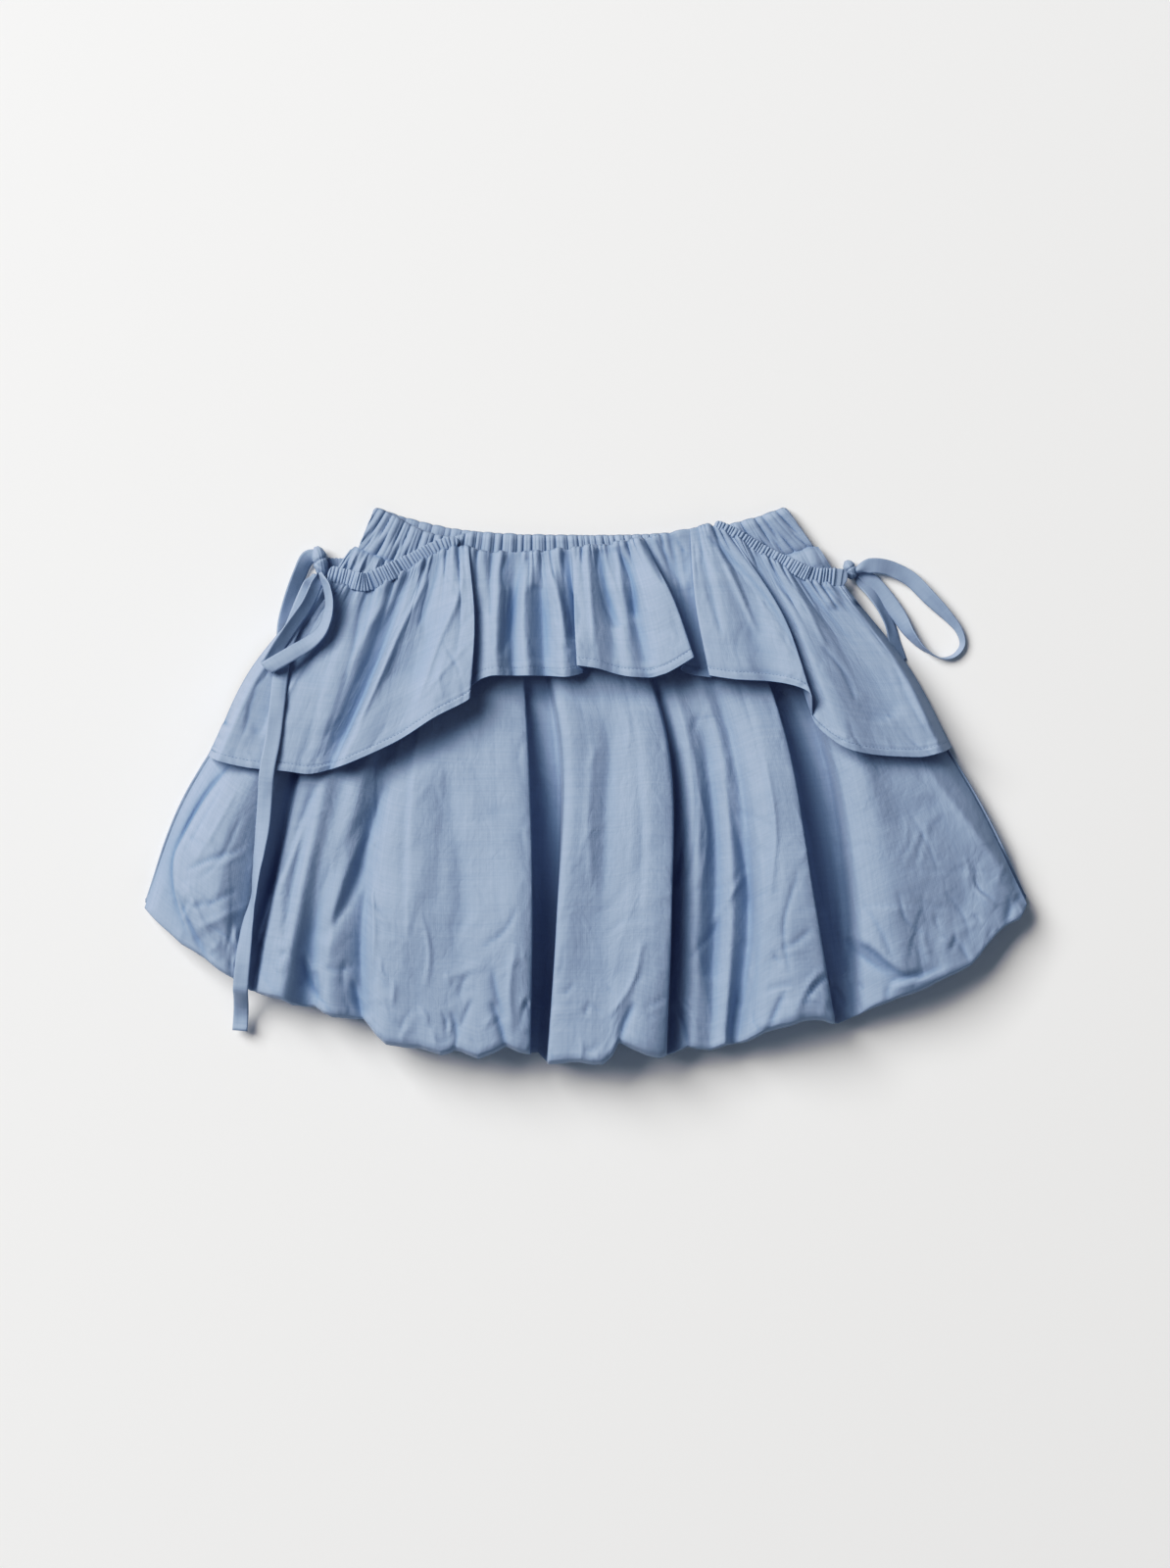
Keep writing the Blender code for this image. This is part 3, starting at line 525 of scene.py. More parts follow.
shellFolds = [ShellFold(*row) for row in (
    ("left side", -169, -230, -290, -316, 9, 10, 13),
    ("side strip", -166, -226, -287, -309, 15, 20, 20),
    ("side strip, inner", -163, -221, -280, -294, 19, 27, 27),
    ("left puff, face", -158, -214, -271, -275, 24, 37, 33),
    ("left puff", -153, -206, -256, -258, 27, 43, 36),
    ("left puff, inner", -148, -199, -236, -246, 24, 36, 29),
    ("left valley", -144, -193, -222, -238, 15, 27, 22),
    ("second puff, edge", -141, -188, -217, -233, 26, 40, 31),
    ("second puff", -135, -173, -201, -216, 28, 45, 43),
    ("pinch valley", -128, -160, -190, -200, 26, 39, 27),
    ("third ridge", -121, -149, -176, -183, 29, 43, 42),
    ("third valley", -113, -139, -160, -160, 25, 36, 34),
    ("wide ridge, face", -109, -130, -147, -146, 29, 45, 46),
    ("wide ridge, left", -101, -117, -127, -126, 32, 49, 49),
    ("wide ridge, dip", -80, -86, -89, -91, 31, 49, 50),
    ("wide ridge, right", -60, -57, -52, -54, 32, 52, 51),
    ("wide ridge, edge", -50, -41, -37.5, -39, 29, 49, 45),
    ("deep valley, left", -49, -43, -41.5, -42, 14, 13, 15),
    ("deep valley, right", -45, -21, -21.5, -28.5, 11, 11, 14),
    ("centre ridge, face", -41, -16, -20.5, -26.5, 30, 48, 44),
    ("centre ridge, left", -36, -8, -13, -15, 33, 50.5, 48),
    ("centre ridge, dip", -16, 17, 13, 12, 31, 48, 51),
    ("centre ridge, right", 10, 42, 44, 38, 34, 52, 53),
    ("centre ridge, edge", 20, 58, 61, 57, 31, 49, 45),
    ("second valley", 25, 60, 61, 58.5, 15, 19, 20),
    ("narrow ridge, face", 30, 67, 70, 69, 21, 27, 26),
    ("narrow ridge", 34, 74, 80, 78, 26, 34, 31),
    ("narrow dip", 42, 83, 91, 89, 24, 29, 29),
    ("fourth ridge", 50, 94, 103, 99, 27, 38, 35),
    ("crease", 60, 103, 115, 106, 23, 30, 26),
    ("right ridge, left", 72, 112, 126, 122, 30, 46, 43),
    ("right ridge", 88, 125, 144, 146, 33, 52, 50),
    ("right ridge, edge", 100, 141, 161.5, 177, 31, 50, 40),
    ("right valley, left", 103, 140, 160, 176, 9, 10, 14),
    ("right valley, right", 108, 163, 184, 189, 8, 10, 15),
    ("right puff, face", 114, 170, 194, 200, 24, 37, 31),
    ("right puff", 122, 182, 213, 227, 29, 44, 40),
    ("right puff, dip", 135, 194, 237, 256, 23, 37, 35),
    ("corner ridge", 148, 206, 259, 280, 24, 30, 31),
    ("corner, face", 155, 213, 271, 298, 20, 26, 28),
    ("right edge", 162, 218, 278, 310, 17, 21, 24),
    ("right side", 167, 222, 281, 316, 12, 14, 17),
)]
# Hem of the front as it lies, puckered where the inner layer holds it back
hemLine = np.array([
    (-317.5, -88), (-303, -102), (-289, -114), (-272, -124), (-261.5, -133), (-252.5, -138.5),
    (-240, -147.5), (-229, -151), (-217.5, -153.5), (-209, -157.5), (-201, -159), (-193, -159),
    (-186, -164), (-180.5, -166), (-172.5, -166.5), (-165, -167.5), (-158, -168), (-153.5, -173.5),
    (-148, -180.5), (-142, -185.5), (-130, -187.5), (-116.5, -189), (-109, -191), (-103, -193),
    (-97.5, -192), (-93, -189.5), (-85, -192.5), (-76, -195.5), (-66, -192), (-56.5, -187), (-48, -191),
    (-40, -192.5), (-34, -192), (-30.5, -196), (-27, -199.5), (-16, -199), (-4, -198), (4.5, -199.5),
    (13, -199.5), (19, -194), (23.5, -184), (33, -189), (43.5, -193), (53, -195.5), (63.5, -192),
    (73, -187.5), (81, -189.5), (89, -190.5), (99, -187), (107, -185.5), (115, -184), (122, -180.5),
    (129, -176.5), (136, -174.5), (144.5, -173), (155, -168.5), (163, -168), (169, -168.5), (175.5, -171),
    (181, -171.5), (188, -168.5), (197, -164.5), (206, -159.5), (214.5, -156), (225, -152), (235.5, -149),
    (244, -145), (252.5, -140.5), (264, -135), (275.5, -129), (280.5, -124), (285, -117.5), (292, -109),
    (300, -101.5), (305.5, -98.5), (310.5, -96.5), (314, -91), (317, -84.5),
])
# The left side strip's folded edge
stripEdge = [
    (-246, 22), (-258, 8), (-272, -10), (-285, -31.5), (-294.5, -52), (-295, -68), (-291, -88),
    (-281, -112),
]
# Creases of the front: width, depth (troughs under 0), reach of a folded edge or 0, and the line
shellCreases = [
    (9.45, -7.4, 0, [(86, 50), (90, 0), (94, -50), (95, -90), (90, -140)]),
    (6.3, -6.75, 0, [(-192, 0), (-202, -45), (-210, -85), (-214, -115)]),
    (5.25, -5.95, 0, [(-138, 10), (-145, -8), (-157, -46), (-166, -75), (-186, -112)]),
    (6.3, -8.1, 0, [(144, 60), (152, 30), (160, 0), (169, -50), (178, -100), (184, -140)]),
    (12.6, -5.4, 0, [(-150, 12), (-128, 18), (-106, 27), (-90, 40), (-72, 52)]),
    (9.45, -3.4, 0, [(-74, 66), (-20, 64), (30, 62), (72, 70)]),
    (9.45, -2.45, 0, [(-98, 20), (-93, -30), (-88, -80), (-92, -130)]),
    (1.35, 7.4, 26, stripEdge),
    (1.9, -4.2, 0, stripEdge),
    (2.1, -2.2, 0, [(-250, 17), (-269, -4), (-282.5, -26.5), (-292, -47.5)]),
    (3.15, -4.3, 0, [(-291, -76), (-280, -104), (-268, -126)]),
    (3.7, 2.95, 0, [(-285, -70), (-273, -98), (-259, -123)]),
    (4.75, -3.5, 0, [(-202, 1), (-215, -42), (-230, -93), (-237, -115)]),
    (0.95, -6.1, 12, [(-236, -122), (-230.5, -101), (-221, -73.5), (-211, -52.5),
        (-200, -24.5), (-186.5, 5.5)]),
    (3.15, 3.4, 9, [(-210, -158), (-222, -146), (-230, -136), (-237, -118)]),
    (6.3, -2.15, 0, [(-152, -15), (-172, -48), (-184, -74), (-196, -108), (-203, -122)]),
    (2.5, 2.15, 14, [(-193, -154), (-200, -130), (-196, -108), (-183, -74), (-172, -48)]),
    (2.75, -3.25, 0, [(-203, -122), (-193, -147), (-178, -164)]),
    (3.55, 1.6, 0, [(-157, -31), (-177, -85), (-185, -130)]),
    (4.6, -2.7, 0, [(-140, 0), (-150, -50), (-157, -90), (-159, -139), (-152, -165)]),
    (0.95, -2.95, 18, [(-128, -110), (-127, -60), (-126, -20), (-122, 30), (-118, 60)]),
    (2.1, 1.8, 0, [(-152, -73.5), (-150, -105), (-152, -133)]),
    (2.1, -1.4, 0, [(-185, -130), (-174.5, -131.5), (-163.5, -129)]),
    (7.35, -1.6, 0, [(-100, 14), (-102, -35), (-106, -91)]),
    (2.3, 1.2, 0, [(-97.5, -137), (-86, -133), (-71, -126.5)]),
    (3.15, -2.15, 0, [(-57, -168), (-63, -147), (-66, -130)]),
    (3.15, 2.15, 0, [(-52, -175), (-54, -147), (-49, -112)]),
    (7.35, -2.45, 0, [(20, 57), (17, 14), (14, -28), (13, -80)]),
    (4.2, 1.6, 0, [(6, 28), (2, -28), (4, -70)]),
    (4.6, -1.6, 0, [(35, 28), (40, -42), (37, -98)]),
    (2.5, 2.15, 0, [(17, -164), (33, -140), (40, -112)]),
    (3.15, -3.5, 0, [(25, -183), (27, -172), (35, -154)]),
    (2.1, 2.95, 14, [(92, -180.5), (85.5, -141.5), (76.5, -106.5), (64.5, -85.5)]),
    (2.75, -1.9, 0, [(63, -74), (68, -49), (72, -24)]),
    (2.3, 1.8, 0, [(81.5, -4), (87, -35), (83, -70)]),
    (4.85, -3.5, 0, [(100, 3), (109, -38), (117, -80), (116, -129), (107, -165), (98, -183)]),
    (2.1, 3.25, 10, [(108, -178.5), (119.5, -140), (121.5, -91)]),
    (2.75, -2.7, 0, [(154, -156), (161, -144), (174, -134)]),
    (2.3, 2, 0, [(149, -171), (152, -154), (170, -129.5)]),
    (2.5, -1.6, 0, [(138, -117), (150, -111), (160, -102)]),
    (1.05, 6.75, 18, [(186.5, -109), (203.5, -117.5), (216, -128), (226, -134), (238, -133)]),
    (3.15, -2.45, 0, [(185, -111), (200, -125), (217, -137)]),
    (3.15, 1.75, 0, [(214, -144), (240, -140), (264, -129)]),
    (3.15, -1.75, 0, [(212, -140), (233, -137), (254, -130)]),
    (5.25, 2.95, 0, [(240, 16), (256, -6), (282, -39), (305, -69)]),
    (2.75, -2.45, 0, [(303, -80), (302, -91), (299, -101)]),
    (1.7, -0.7, 0, [(241, -28.5), (238.5, -43.5), (233.5, -59)]),
    (1.9, 0.6, 0, [(244, -26.5), (242, -43.5), (237.5, -60)]),
    (1.45, -0.6, 0, [(257, -19.5), (251, -26.5), (242.5, -29.5)]),
    (2.75, -1.35, 0, [(197, -85), (210, -105), (219, -126)]),
    (3.15, -3.25, 0, [(-193, -159), (-190, -146), (-193, -133)]),
    (2.75, -3.5, 0, [(-158, -168), (-162, -154), (-165, -140)]),
    (2.5, -2.45, 0, [(-93, -190), (-91, -176), (-95, -161)]),
    (3.15, -3.5, 0, [(-56, -187), (-60, -172), (-66, -154)]),
    (2.5, -2.95, 0, [(73, -188), (70, -172), (65, -158)]),
    (2.75, -2.7, 0, [(129, -176), (135, -161), (142, -146)]),
    (2.5, -1.75, 0, [(214, -156), (215, -147), (220, -137)]),
    (2.5, -1.35, 0, [(275, -129), (270, -119), (261, -108)]),
    (2.3, -1.4, 0, [(-258, -1), (-275.5, -30.5), (-286, -48)]),
    (2.1, 1, 0, [(-248, -5), (-264, -34), (-278.5, -56.5)]),
    (2.1, -1.3, 0, [(-243.5, -21.5), (-262, -56.5), (-275.5, -67.5)]),
    (1.9, 1, 0, [(-236, -43), (-254, -55), (-274.5, -58.5)]),
    (1.9, -1.8, 0, [(-284.5, -61), (-266.5, -53.5), (-241.5, -46)]),
    (2.3, -2, 0, [(-247.5, -75.5), (-266.5, -84), (-284.5, -88)]),
    (2.1, 1.8, 0, [(-239, -86.5), (-258, -94.5), (-278, -103.5)]),
    (1.9, -1.8, 0, [(-266.5, -100.5), (-255, -108.5), (-245, -121.5)]),
    (1.7, 1.4, 0, [(-289.5, -75.5), (-283.5, -92), (-274.5, -107)]),
    (2.1, 1.8, 0, [(-200.5, -116), (-193, -136.5), (-188.5, -155.5)]),
    (1.9, 1.6, 0, [(-154.5, -77.5), (-148, -91.5), (-138, -102)]),
    (1.7, 1.4, 0, [(-115, -95.5), (-110.5, -120), (-113.5, -144.5)]),
    (1.9, -1.4, 0, [(-73.5, -116), (-57, -103.5), (-48, -87)]),
    (2.1, -1.2, 0, [(74.5, 26), (79, -13), (75.5, -52), (67.5, -76)]),
    (1.9, 2, 0, [(90, -100.5), (105.5, -76), (116, -61.5)]),
    (1.9, -1.6, 0, [(72.5, -124.5), (87, -110), (97.5, -96.5)]),
    (2.3, 1.8, 0, [(127, 21), (134.5, -32.5), (130.5, -81)]),
    (1.9, -1.6, 0, [(151, -61.5), (140.5, -100.5), (144, -134.5)]),
    (1.9, -0.8, 0, [(231.5, -20.5), (243.5, -43), (251, -61.5)]),
    (1.7, 0.8, 0, [(259.5, -19), (241, -32.5), (224.5, -61.5)]),
    (1.9, -1.1, 0, [(222, -76), (227.5, -96.5), (246, -109)]),
    (1.9, 0.8, 0, [(270.5, -52), (280, -76), (294.5, -87)]),
    (1.7, -0.8, 0, [(256, -76), (270.5, -96.5), (275, -115)]),
    (2.1, -1.3, 0, [(317, -76), (307.5, -84), (301.5, -99.5)]),
    (2.3, 1.4, 0, [(251, -135.5), (231.5, -140), (216, -147)]),
]


def hemYAt(x):
    return np.interp(x, hemLine[:, 0], hemLine[:, 1])


def shellLine(fold, along):
    # one crest or valley from the band to the hem, round the roll and back inside
    shape = shellShape
    stations = (0, shape["upper"], shape["belly"], 1)
    returnZ = min(shape["returnZ"], fold.hemZ - shape["smallestRoll"])
    half = (fold.hemZ - returnZ) / 2
    x = curveThrough(stations, [fold.waistX, fold.upperX, fold.bellyX, fold.hemX], along)
    z = curveThrough(stations, [bandShape["frontZ"], fold.upperZ, fold.bellyZ, fold.hemZ], along)
    startY = bandEdgeY(fold.waistX * mm, bandShape["height"] + bandShape["seamGap"]) / mm
    depth = half * shape["rollDepth"]
    hemY = hemYAt(fold.hemX) + depth
    down = np.column_stack([x, startY + (hemY - startY) * along, z])
    angle = np.linspace(math.pi / 2, -math.pi / 2, shape["rollRows"] + 2)[1:]
    roll = np.column_stack([
        np.full(len(angle), fold.hemX), hemY - depth * np.cos(angle), returnZ + half + half * np.sin(angle)])
    back = np.linspace(0, 1, shape["returnRows"] + 1)[1:]
    inside = np.column_stack([
        fold.hemX * (1 - shape["returnTaper"] * back), hemY + shape["returnLength"] * back,
        np.full(len(back), returnZ)])
    return np.vstack([down, roll, inside]) * mm


def frontShellPoints():
    shape = shellShape
    downRows = shape["rows"]
    along = np.linspace(0, 1, downRows + 1)[:-1] ** shape["crowding"]
    lines = [shellLine(fold, along) for fold in shellFolds]
    points = acrossFolds(lines, shape["columns"], int(downRows * shape["evenAt"]))
    rows, columns = points.shape[:2]
    x, y, z = points[..., 0], points[..., 1], points[..., 2]
    # the hem's scallops between the folds: every column ends on the hem line
    turnRow = downRows + shape["rollRows"] // 2
    wanted = hemYAt(x[turnRow] / mm) * mm
    scallop = (np.arange(rows) / downRows - shape["scallopsFrom"]) / (1 - shape["scallopsFrom"])
    y += (wanted - y.min(axis=0))[None, :] * smoothStep(scallop)[:, None]
    u = np.tile(lengthAlong(points[rows // 2]), (rows, 1))
    v = np.tile(lengthAlong(points[:, columns // 2])[:, None], (1, columns))
    side = np.minimum(u, u.max() - u)
    pressed = np.arange(rows) - downRows
    pressed = np.clip(1 - np.maximum(pressed, 0) / (shape["rollRows"] * shape["pressedRoll"]), 0, 1)
    weight = pressed[:, None] * smoothStep(side / shape["sideFade"])
    # the top edge tucks in under the band and the cloth puffs out below it, bunched at the left end
    tuck = (1 - smoothStep(v / shape["tuckLength"])) * smoothStep(side / shape["tuckSide"])
    y += shape["tuck"] * mm * tuck
    puff = shape["topPuff"] * np.exp(-((v - shape["topPuffAt"]) / shape["topPuffLength"])**2)
    z += (puff - shape["topDip"] * (1 - smoothStep(v / shape["topDipLength"]))) * mm
    fromSeam = smoothStep(v / shape["seamFade"])
    bunch = smoothStep((shape["bunchX"] - x) / shape["bunchFadeX"])
    bunch *= smoothStep((y - shape["bunchY"]) / shape["bunchFadeY"]) * fromSeam
    rumple = softNoise(u, v, *shape["bunchGrain"], shape["bunchSeed"], shape["bunchTurn"])
    z += (rumple * shape["bunchRuffle"] + shape["bunchHeight"]) * mm * bunch * weight
    # gathers of the waist seam run out down the cloth
    reach = shape["gathersTo"]
    places = np.interp(x[0], shape["seamEnds"], (-reach, reach))
    for pitch, length, depth, seed in shape["gathers"]:
        valleys = unevenPlaces(-reach - 1, reach + 1, pitch, shape["gatherSpread"], seed)
        puff = ruffle(places, valleys, seed) - shape["gatherLow"]
        z += puff[None, :] * depth * mm * np.exp(-v / length) * fromSeam * weight
    z += sagging(u, v, shape) * mm * weight
    # the inner layer holds the hem back, so it puckers
    fromHem = np.abs(v - v[turnRow])
    around = lengthAlong(points[turnRow])
    for pitch, length, depth, seed in shape["puckers"]:
        valleys = unevenPlaces(0, around[-1], pitch, shape["puckerSpread"], seed)
        puff = (ruffle(around, valleys, seed) - shape["puckerLow"])[None, :] * depth * mm
        z += puff * np.exp(-fromHem / length) * weight
        y -= puff * shape["puckerPull"] * np.exp(-(fromHem / length)**2)
    # painted shade along the creases' folded edges and narrow troughs, given back for the cloth colour
    shade = pressLines(points, shellCreases, weight)
    for look in shape["smallCreases"]:
        scatterLines(points, weight, look)
    z[:] = np.maximum(z, shape["lowest"] * mm)
    return points, shade


# Back shell: flat on the back flounce, down to the surface below it, rolled in at its own hem
backShape = {
    "floor": 0.6, "onFlounce": 2.6, "returnZ": 5.2, "returnLength": 22, "inset": 7, "cornerZ": 3.2,
    "cornerStation": 0.86, "curl": 12, "drop": 2, "stepStation": 0.4, "stepClearance": 3, "stepLength": 14,
    "seamSlope": 0.1, "wall": 0.8, "wave": 0.25, "flounceWave": 0.15, "columns": 240, "rows": (30, 60, 8, 4),
}
BackFold = namedtuple("BackFold", "name topX topY hemX hemY")
backFlounceFolds = [BackFold(*row) for row in (
    ("left side", -183, 156, -259, 22),
    ("left hip", -146, 157, -206, 14),
    ("left back", -80, 168, -110, 32),
    ("middle back", -2, 166, -2, 44),
    ("right back", 76, 168, 108, 34),
    ("right hip", 146, 155, 202, 20),
    ("right side", 182, 147, 252, 28),
)]


def backFlouncePoints(rows, columns):
    down = np.linspace(0, 1, rows + 1)[:, None]
    lines = []
    for fold in backFlounceFolds:
        start = np.array([fold.topX, fold.topY])
        flat = start + (np.array([fold.hemX, fold.hemY]) - start) * down
        lines.append(np.column_stack([flat, np.full(len(down), backShape["floor"])]) * mm)
    points = acrossFolds(lines, columns, rows // 2)
    wave = softNoise(points[..., 0], points[..., 1], 0.02, 0.05, 31)
    points[..., 2] += wave * backShape["flounceWave"] * mm
    return points


def backShellPoints():
    shape = backShape
    aboveRows, belowRows, rollRows, returnRows = shape["rows"]
    shares = np.linspace(0, 1, 81)
    left, right = [shellLine(fold, shares)[:len(shares)] / mm for fold in (shellFolds[0], shellFolds[-1])]
    above = shares < shape["cornerStation"]
    sideZ = np.column_stack([left[:, 2], right[:, 2]]) - shape["drop"]
    corners = (shape["cornerStation"], 1)
    low = [np.interp(shares, corners, (side[above][-1], shape["cornerZ"])) for side in sideZ.T]
    sideZ = np.where(above[:, None], sideZ, np.column_stack(low))
    across = np.linspace(0, 1, shape["columns"] + 1)
    edge = np.minimum(across, 1 - across)
    hemY = hemYAt(left[-1, 0] + (right[-1, 0] - left[-1, 0]) * across) + shape["inset"]
    topX = left[0, 0] + (right[0, 0] - left[0, 0]) * across
    topY = bandEdgeY(topX * mm, bandShape["height"] + bandShape["seamGap"]) / mm
    step = int(len(shares) * shape["stepStation"])
    stepX = left[step, 0] + (right[step, 0] - left[step, 0]) * across
    flounceHem = backFlouncePoints(2, 60)[-1] / mm
    stepY = np.interp(stepX, flounceHem[:, 0], flounceHem[:, 1]) - shape["stepClearance"]
    footY = stepY - shape["stepLength"]
    upper, lower = np.linspace(0, 1, aboveRows + 1), np.linspace(0, 1, belowRows + 1)
    levels = [(topY + (stepY - topY) * share, shape["onFlounce"], share) for share in upper]
    levels += [(footY + (hemY - footY) * share, shape["floor"], 1 + share) for share in lower]
    rows = []
    for y, rest, stage in levels:
        share = (topY - y) / (topY - hemY)
        leftX, rightX = [np.interp(share, shares, line[:, 0]) for line in (left, right)]
        x = leftX * (1 - across) + rightX * across
        rest = rest + (bandShape["backZ"] - rest) * max(0, 1 - stage / shape["seamSlope"])
        curl = np.clip(1 - edge * (x[-1] - x[0]) / shape["curl"], 0, 1)**2
        leftZ, rightZ = [np.interp(share, shares, side) for side in sideZ.T]
        edgeZ = np.maximum(leftZ * (1 - across) + rightZ * across - rest, 0)
        rows.append(np.column_stack([x, y, rest + edgeZ * curl]))
    last = rows[-1]
    lift = shape["returnZ"] - shape["floor"]
    for angle in np.linspace(0, math.pi, rollRows + 1)[1:]:
        rows.append(last + np.array([0, -math.sin(angle) * lift / 2, (1 - math.cos(angle)) / 2 * lift]))
    for inward in np.linspace(0, 1, returnRows + 1)[1:]:
        taper = 1 - shellShape["returnTaper"] * inward
        rows.append(last * (taper, 1, 1) + np.array([0, shape["returnLength"] * inward, lift]))
    points = np.array(rows) * mm
    wave = softNoise(points[..., 0], points[..., 1], 0.018, 0.06, 32)
    points[..., 2] += (wave * shape["wave"] + 0.1) * mm
    return points


# Overskirt flounce: its upper edge dips at both hips and lies over the band in the middle
flounceTop = [
    (-184, 145), (-172, 142), (-158, 139), (-142, 145), (-121, 157), (-103, 168), (-92, 171), (-79, 167),
    (-50, 166), (-16, 168), (14, 171), (44, 176), (75, 183), (91, 185), (104, 179), (121, 168), (141, 156),
    (159, 146), (183, 142),
]
FlounceFold = namedtuple("FlounceFold", "name topX middleX hemX hemY middleLift hemLift")
flounceFolds = [FlounceFold(*row) for row in (
    ("left side", -187, -240, -270, 20, 1, 1),
    ("left side ridge", -182, -231, -260, 16, 2, 2),
    ("left flare valley", -174, -214, -236, 11, 2, 2),
    ("left flare", -166, -195, -213, 9, 5, 4),
    ("left of trough", -155, -174, -197, 7, 8, 6),
    ("trough", -126, -151, -182, 10, 0, 2),
    ("right of trough", -119, -143, -172, 13, 10, 14),
    ("soft valley", -105, -119, -134, 30, 5, 14),
    ("fan ridge", -94, -97, -107, 47, 12, 19),
    ("first panel, edge", -84, -79, -82, 61, 14, 18),
    ("first tuck", -83, -84.5, -84, 66, 3, 5),
    ("second panel, left", -72, -73, -73, 75, 6, 10),
    ("second panel, ridge", -62, -64, -64, 77, 11, 15),
    ("second panel, valley", -50, -52, -50, 77, 1, 6),
    ("second panel, middle", -42, -43, -41, 77, 9, 12),
    ("second panel, dip", -34, -31, -29, 77, 0, 4),
    ("second panel, right", -26, -19, -15, 76, 10, 15),
    ("second tuck", -12, -7, -1, 80, 1, 3),
    ("third panel, edge", -8, -8, -6, 84, 13, 19),
    ("third panel, ridge", 0, 4, 8, 82, 13, 18),
    ("third dip", 9, 17, 22, 78, 7, 13),
    ("third panel, middle", 18, 27, 33, 76, 11, 16),
    ("third panel, valley", 25, 35, 45, 75.5, 6, 13),
    ("third panel", 32, 46, 56, 78, 15, 18),
    ("third panel, corner", 40, 62, 77, 90, 18, 21),
    ("under fold", 44, 60, 68, 82, 2, 5),
    ("third pleat", 60, 69, 81, 77, 0, 3),
    ("fourth tuck", 78, 80, 90, 76, 2, 4),
    ("fourth panel, edge", 75, 78.5, 88, 77, 13, 16),
    ("fourth panel", 82, 96, 108, 74, 13, 16),
    ("fourth dip", 90, 113, 129, 73, 8, 12),
    ("fourth panel, ridge", 98, 129, 147, 70, 12, 16),
    ("fourth panel, turn", 104, 140, 160, 62.5, 14, 18),
    ("fourth pleat", 108, 140, 161.5, 47, 2, 6),
    ("right flare, start", 118, 151, 173, 33, 9, 9),
    ("right flare", 131, 165, 190, 23.5, 11, 12),
    ("right flare valley", 147, 186, 212, 20, 6, 7),
    ("right side ridge", 162, 204, 236, 19, 3, 4),
    ("right fold", 178, 222, 252, 22, 3, 4),
    ("right side", 186, 232, 263, 26, 1, 2),
)]
flounceShape = {
    "sideZ": 5.5, "clearance": 1.4, "wallRoom": 1, "pressRoom": 0.5, "reach": 8, "sideReach": 5,
    "bridges": 12, "columns": 580, "rows": 68, "evenAt": 0.7, "wall": 0.8, "backWall": 0.8,
    "foldShadeGrain": 0.7,
    "hemWidth": 6, "hemStep": 0.35, "dentWidth": 0.8, "topDrop": 1.8, "topDropLength": 0.003,
    "edgeFade": 0.004, "sagFrom": 0.02, "gathersTo": 199, "gatherSpread": 0.5, "gatherLow": 0.6,
    "gatherPull": 0.28, "gatherPullLength": 0.007, "wander": 45, "wanderGrain": (0.03, 0.05), "wanderSeed": 40,
    # slitShade is how dark the painted shade in the gather slits gets
    "ownLength": 0.6, "ownGrain": 0.009, "slitFrom": 0.2, "slitOver": 0.4, "slitShade": 0.4,
    # gathers along the top: pitch, length that they run out over, height, seed
    "gathers": ((4.2, 0.009, 3.0, 41), (9.5, 0.022, 6.6, 42), (20, 0.06, 5.6, 43)), "widestSlit": 15,
    # sags: grain across and down, height, seed; crumples: grain, height, seed, turn
    "sags": ((0.022, 0.07, 0.8, 44),),
    "crumples": ((0.028, 1.1, 45, 0), (0.014, 0.6, 55, 0.6)),
    "smallCreases": (
        {"seed": 46, "count": 90, "rows": (0.12, 0.93), "spread": 0.6, "length": (10, 40),
         "width": (1.0, 2.6), "depth": (0.25, 0.8)},
        {"seed": 47, "count": 70, "rows": (0.12, 0.95), "spread": 1.3, "length": (5, 18),
         "width": (0.8, 1.6), "depth": (0.2, 0.5)},
    ),
}
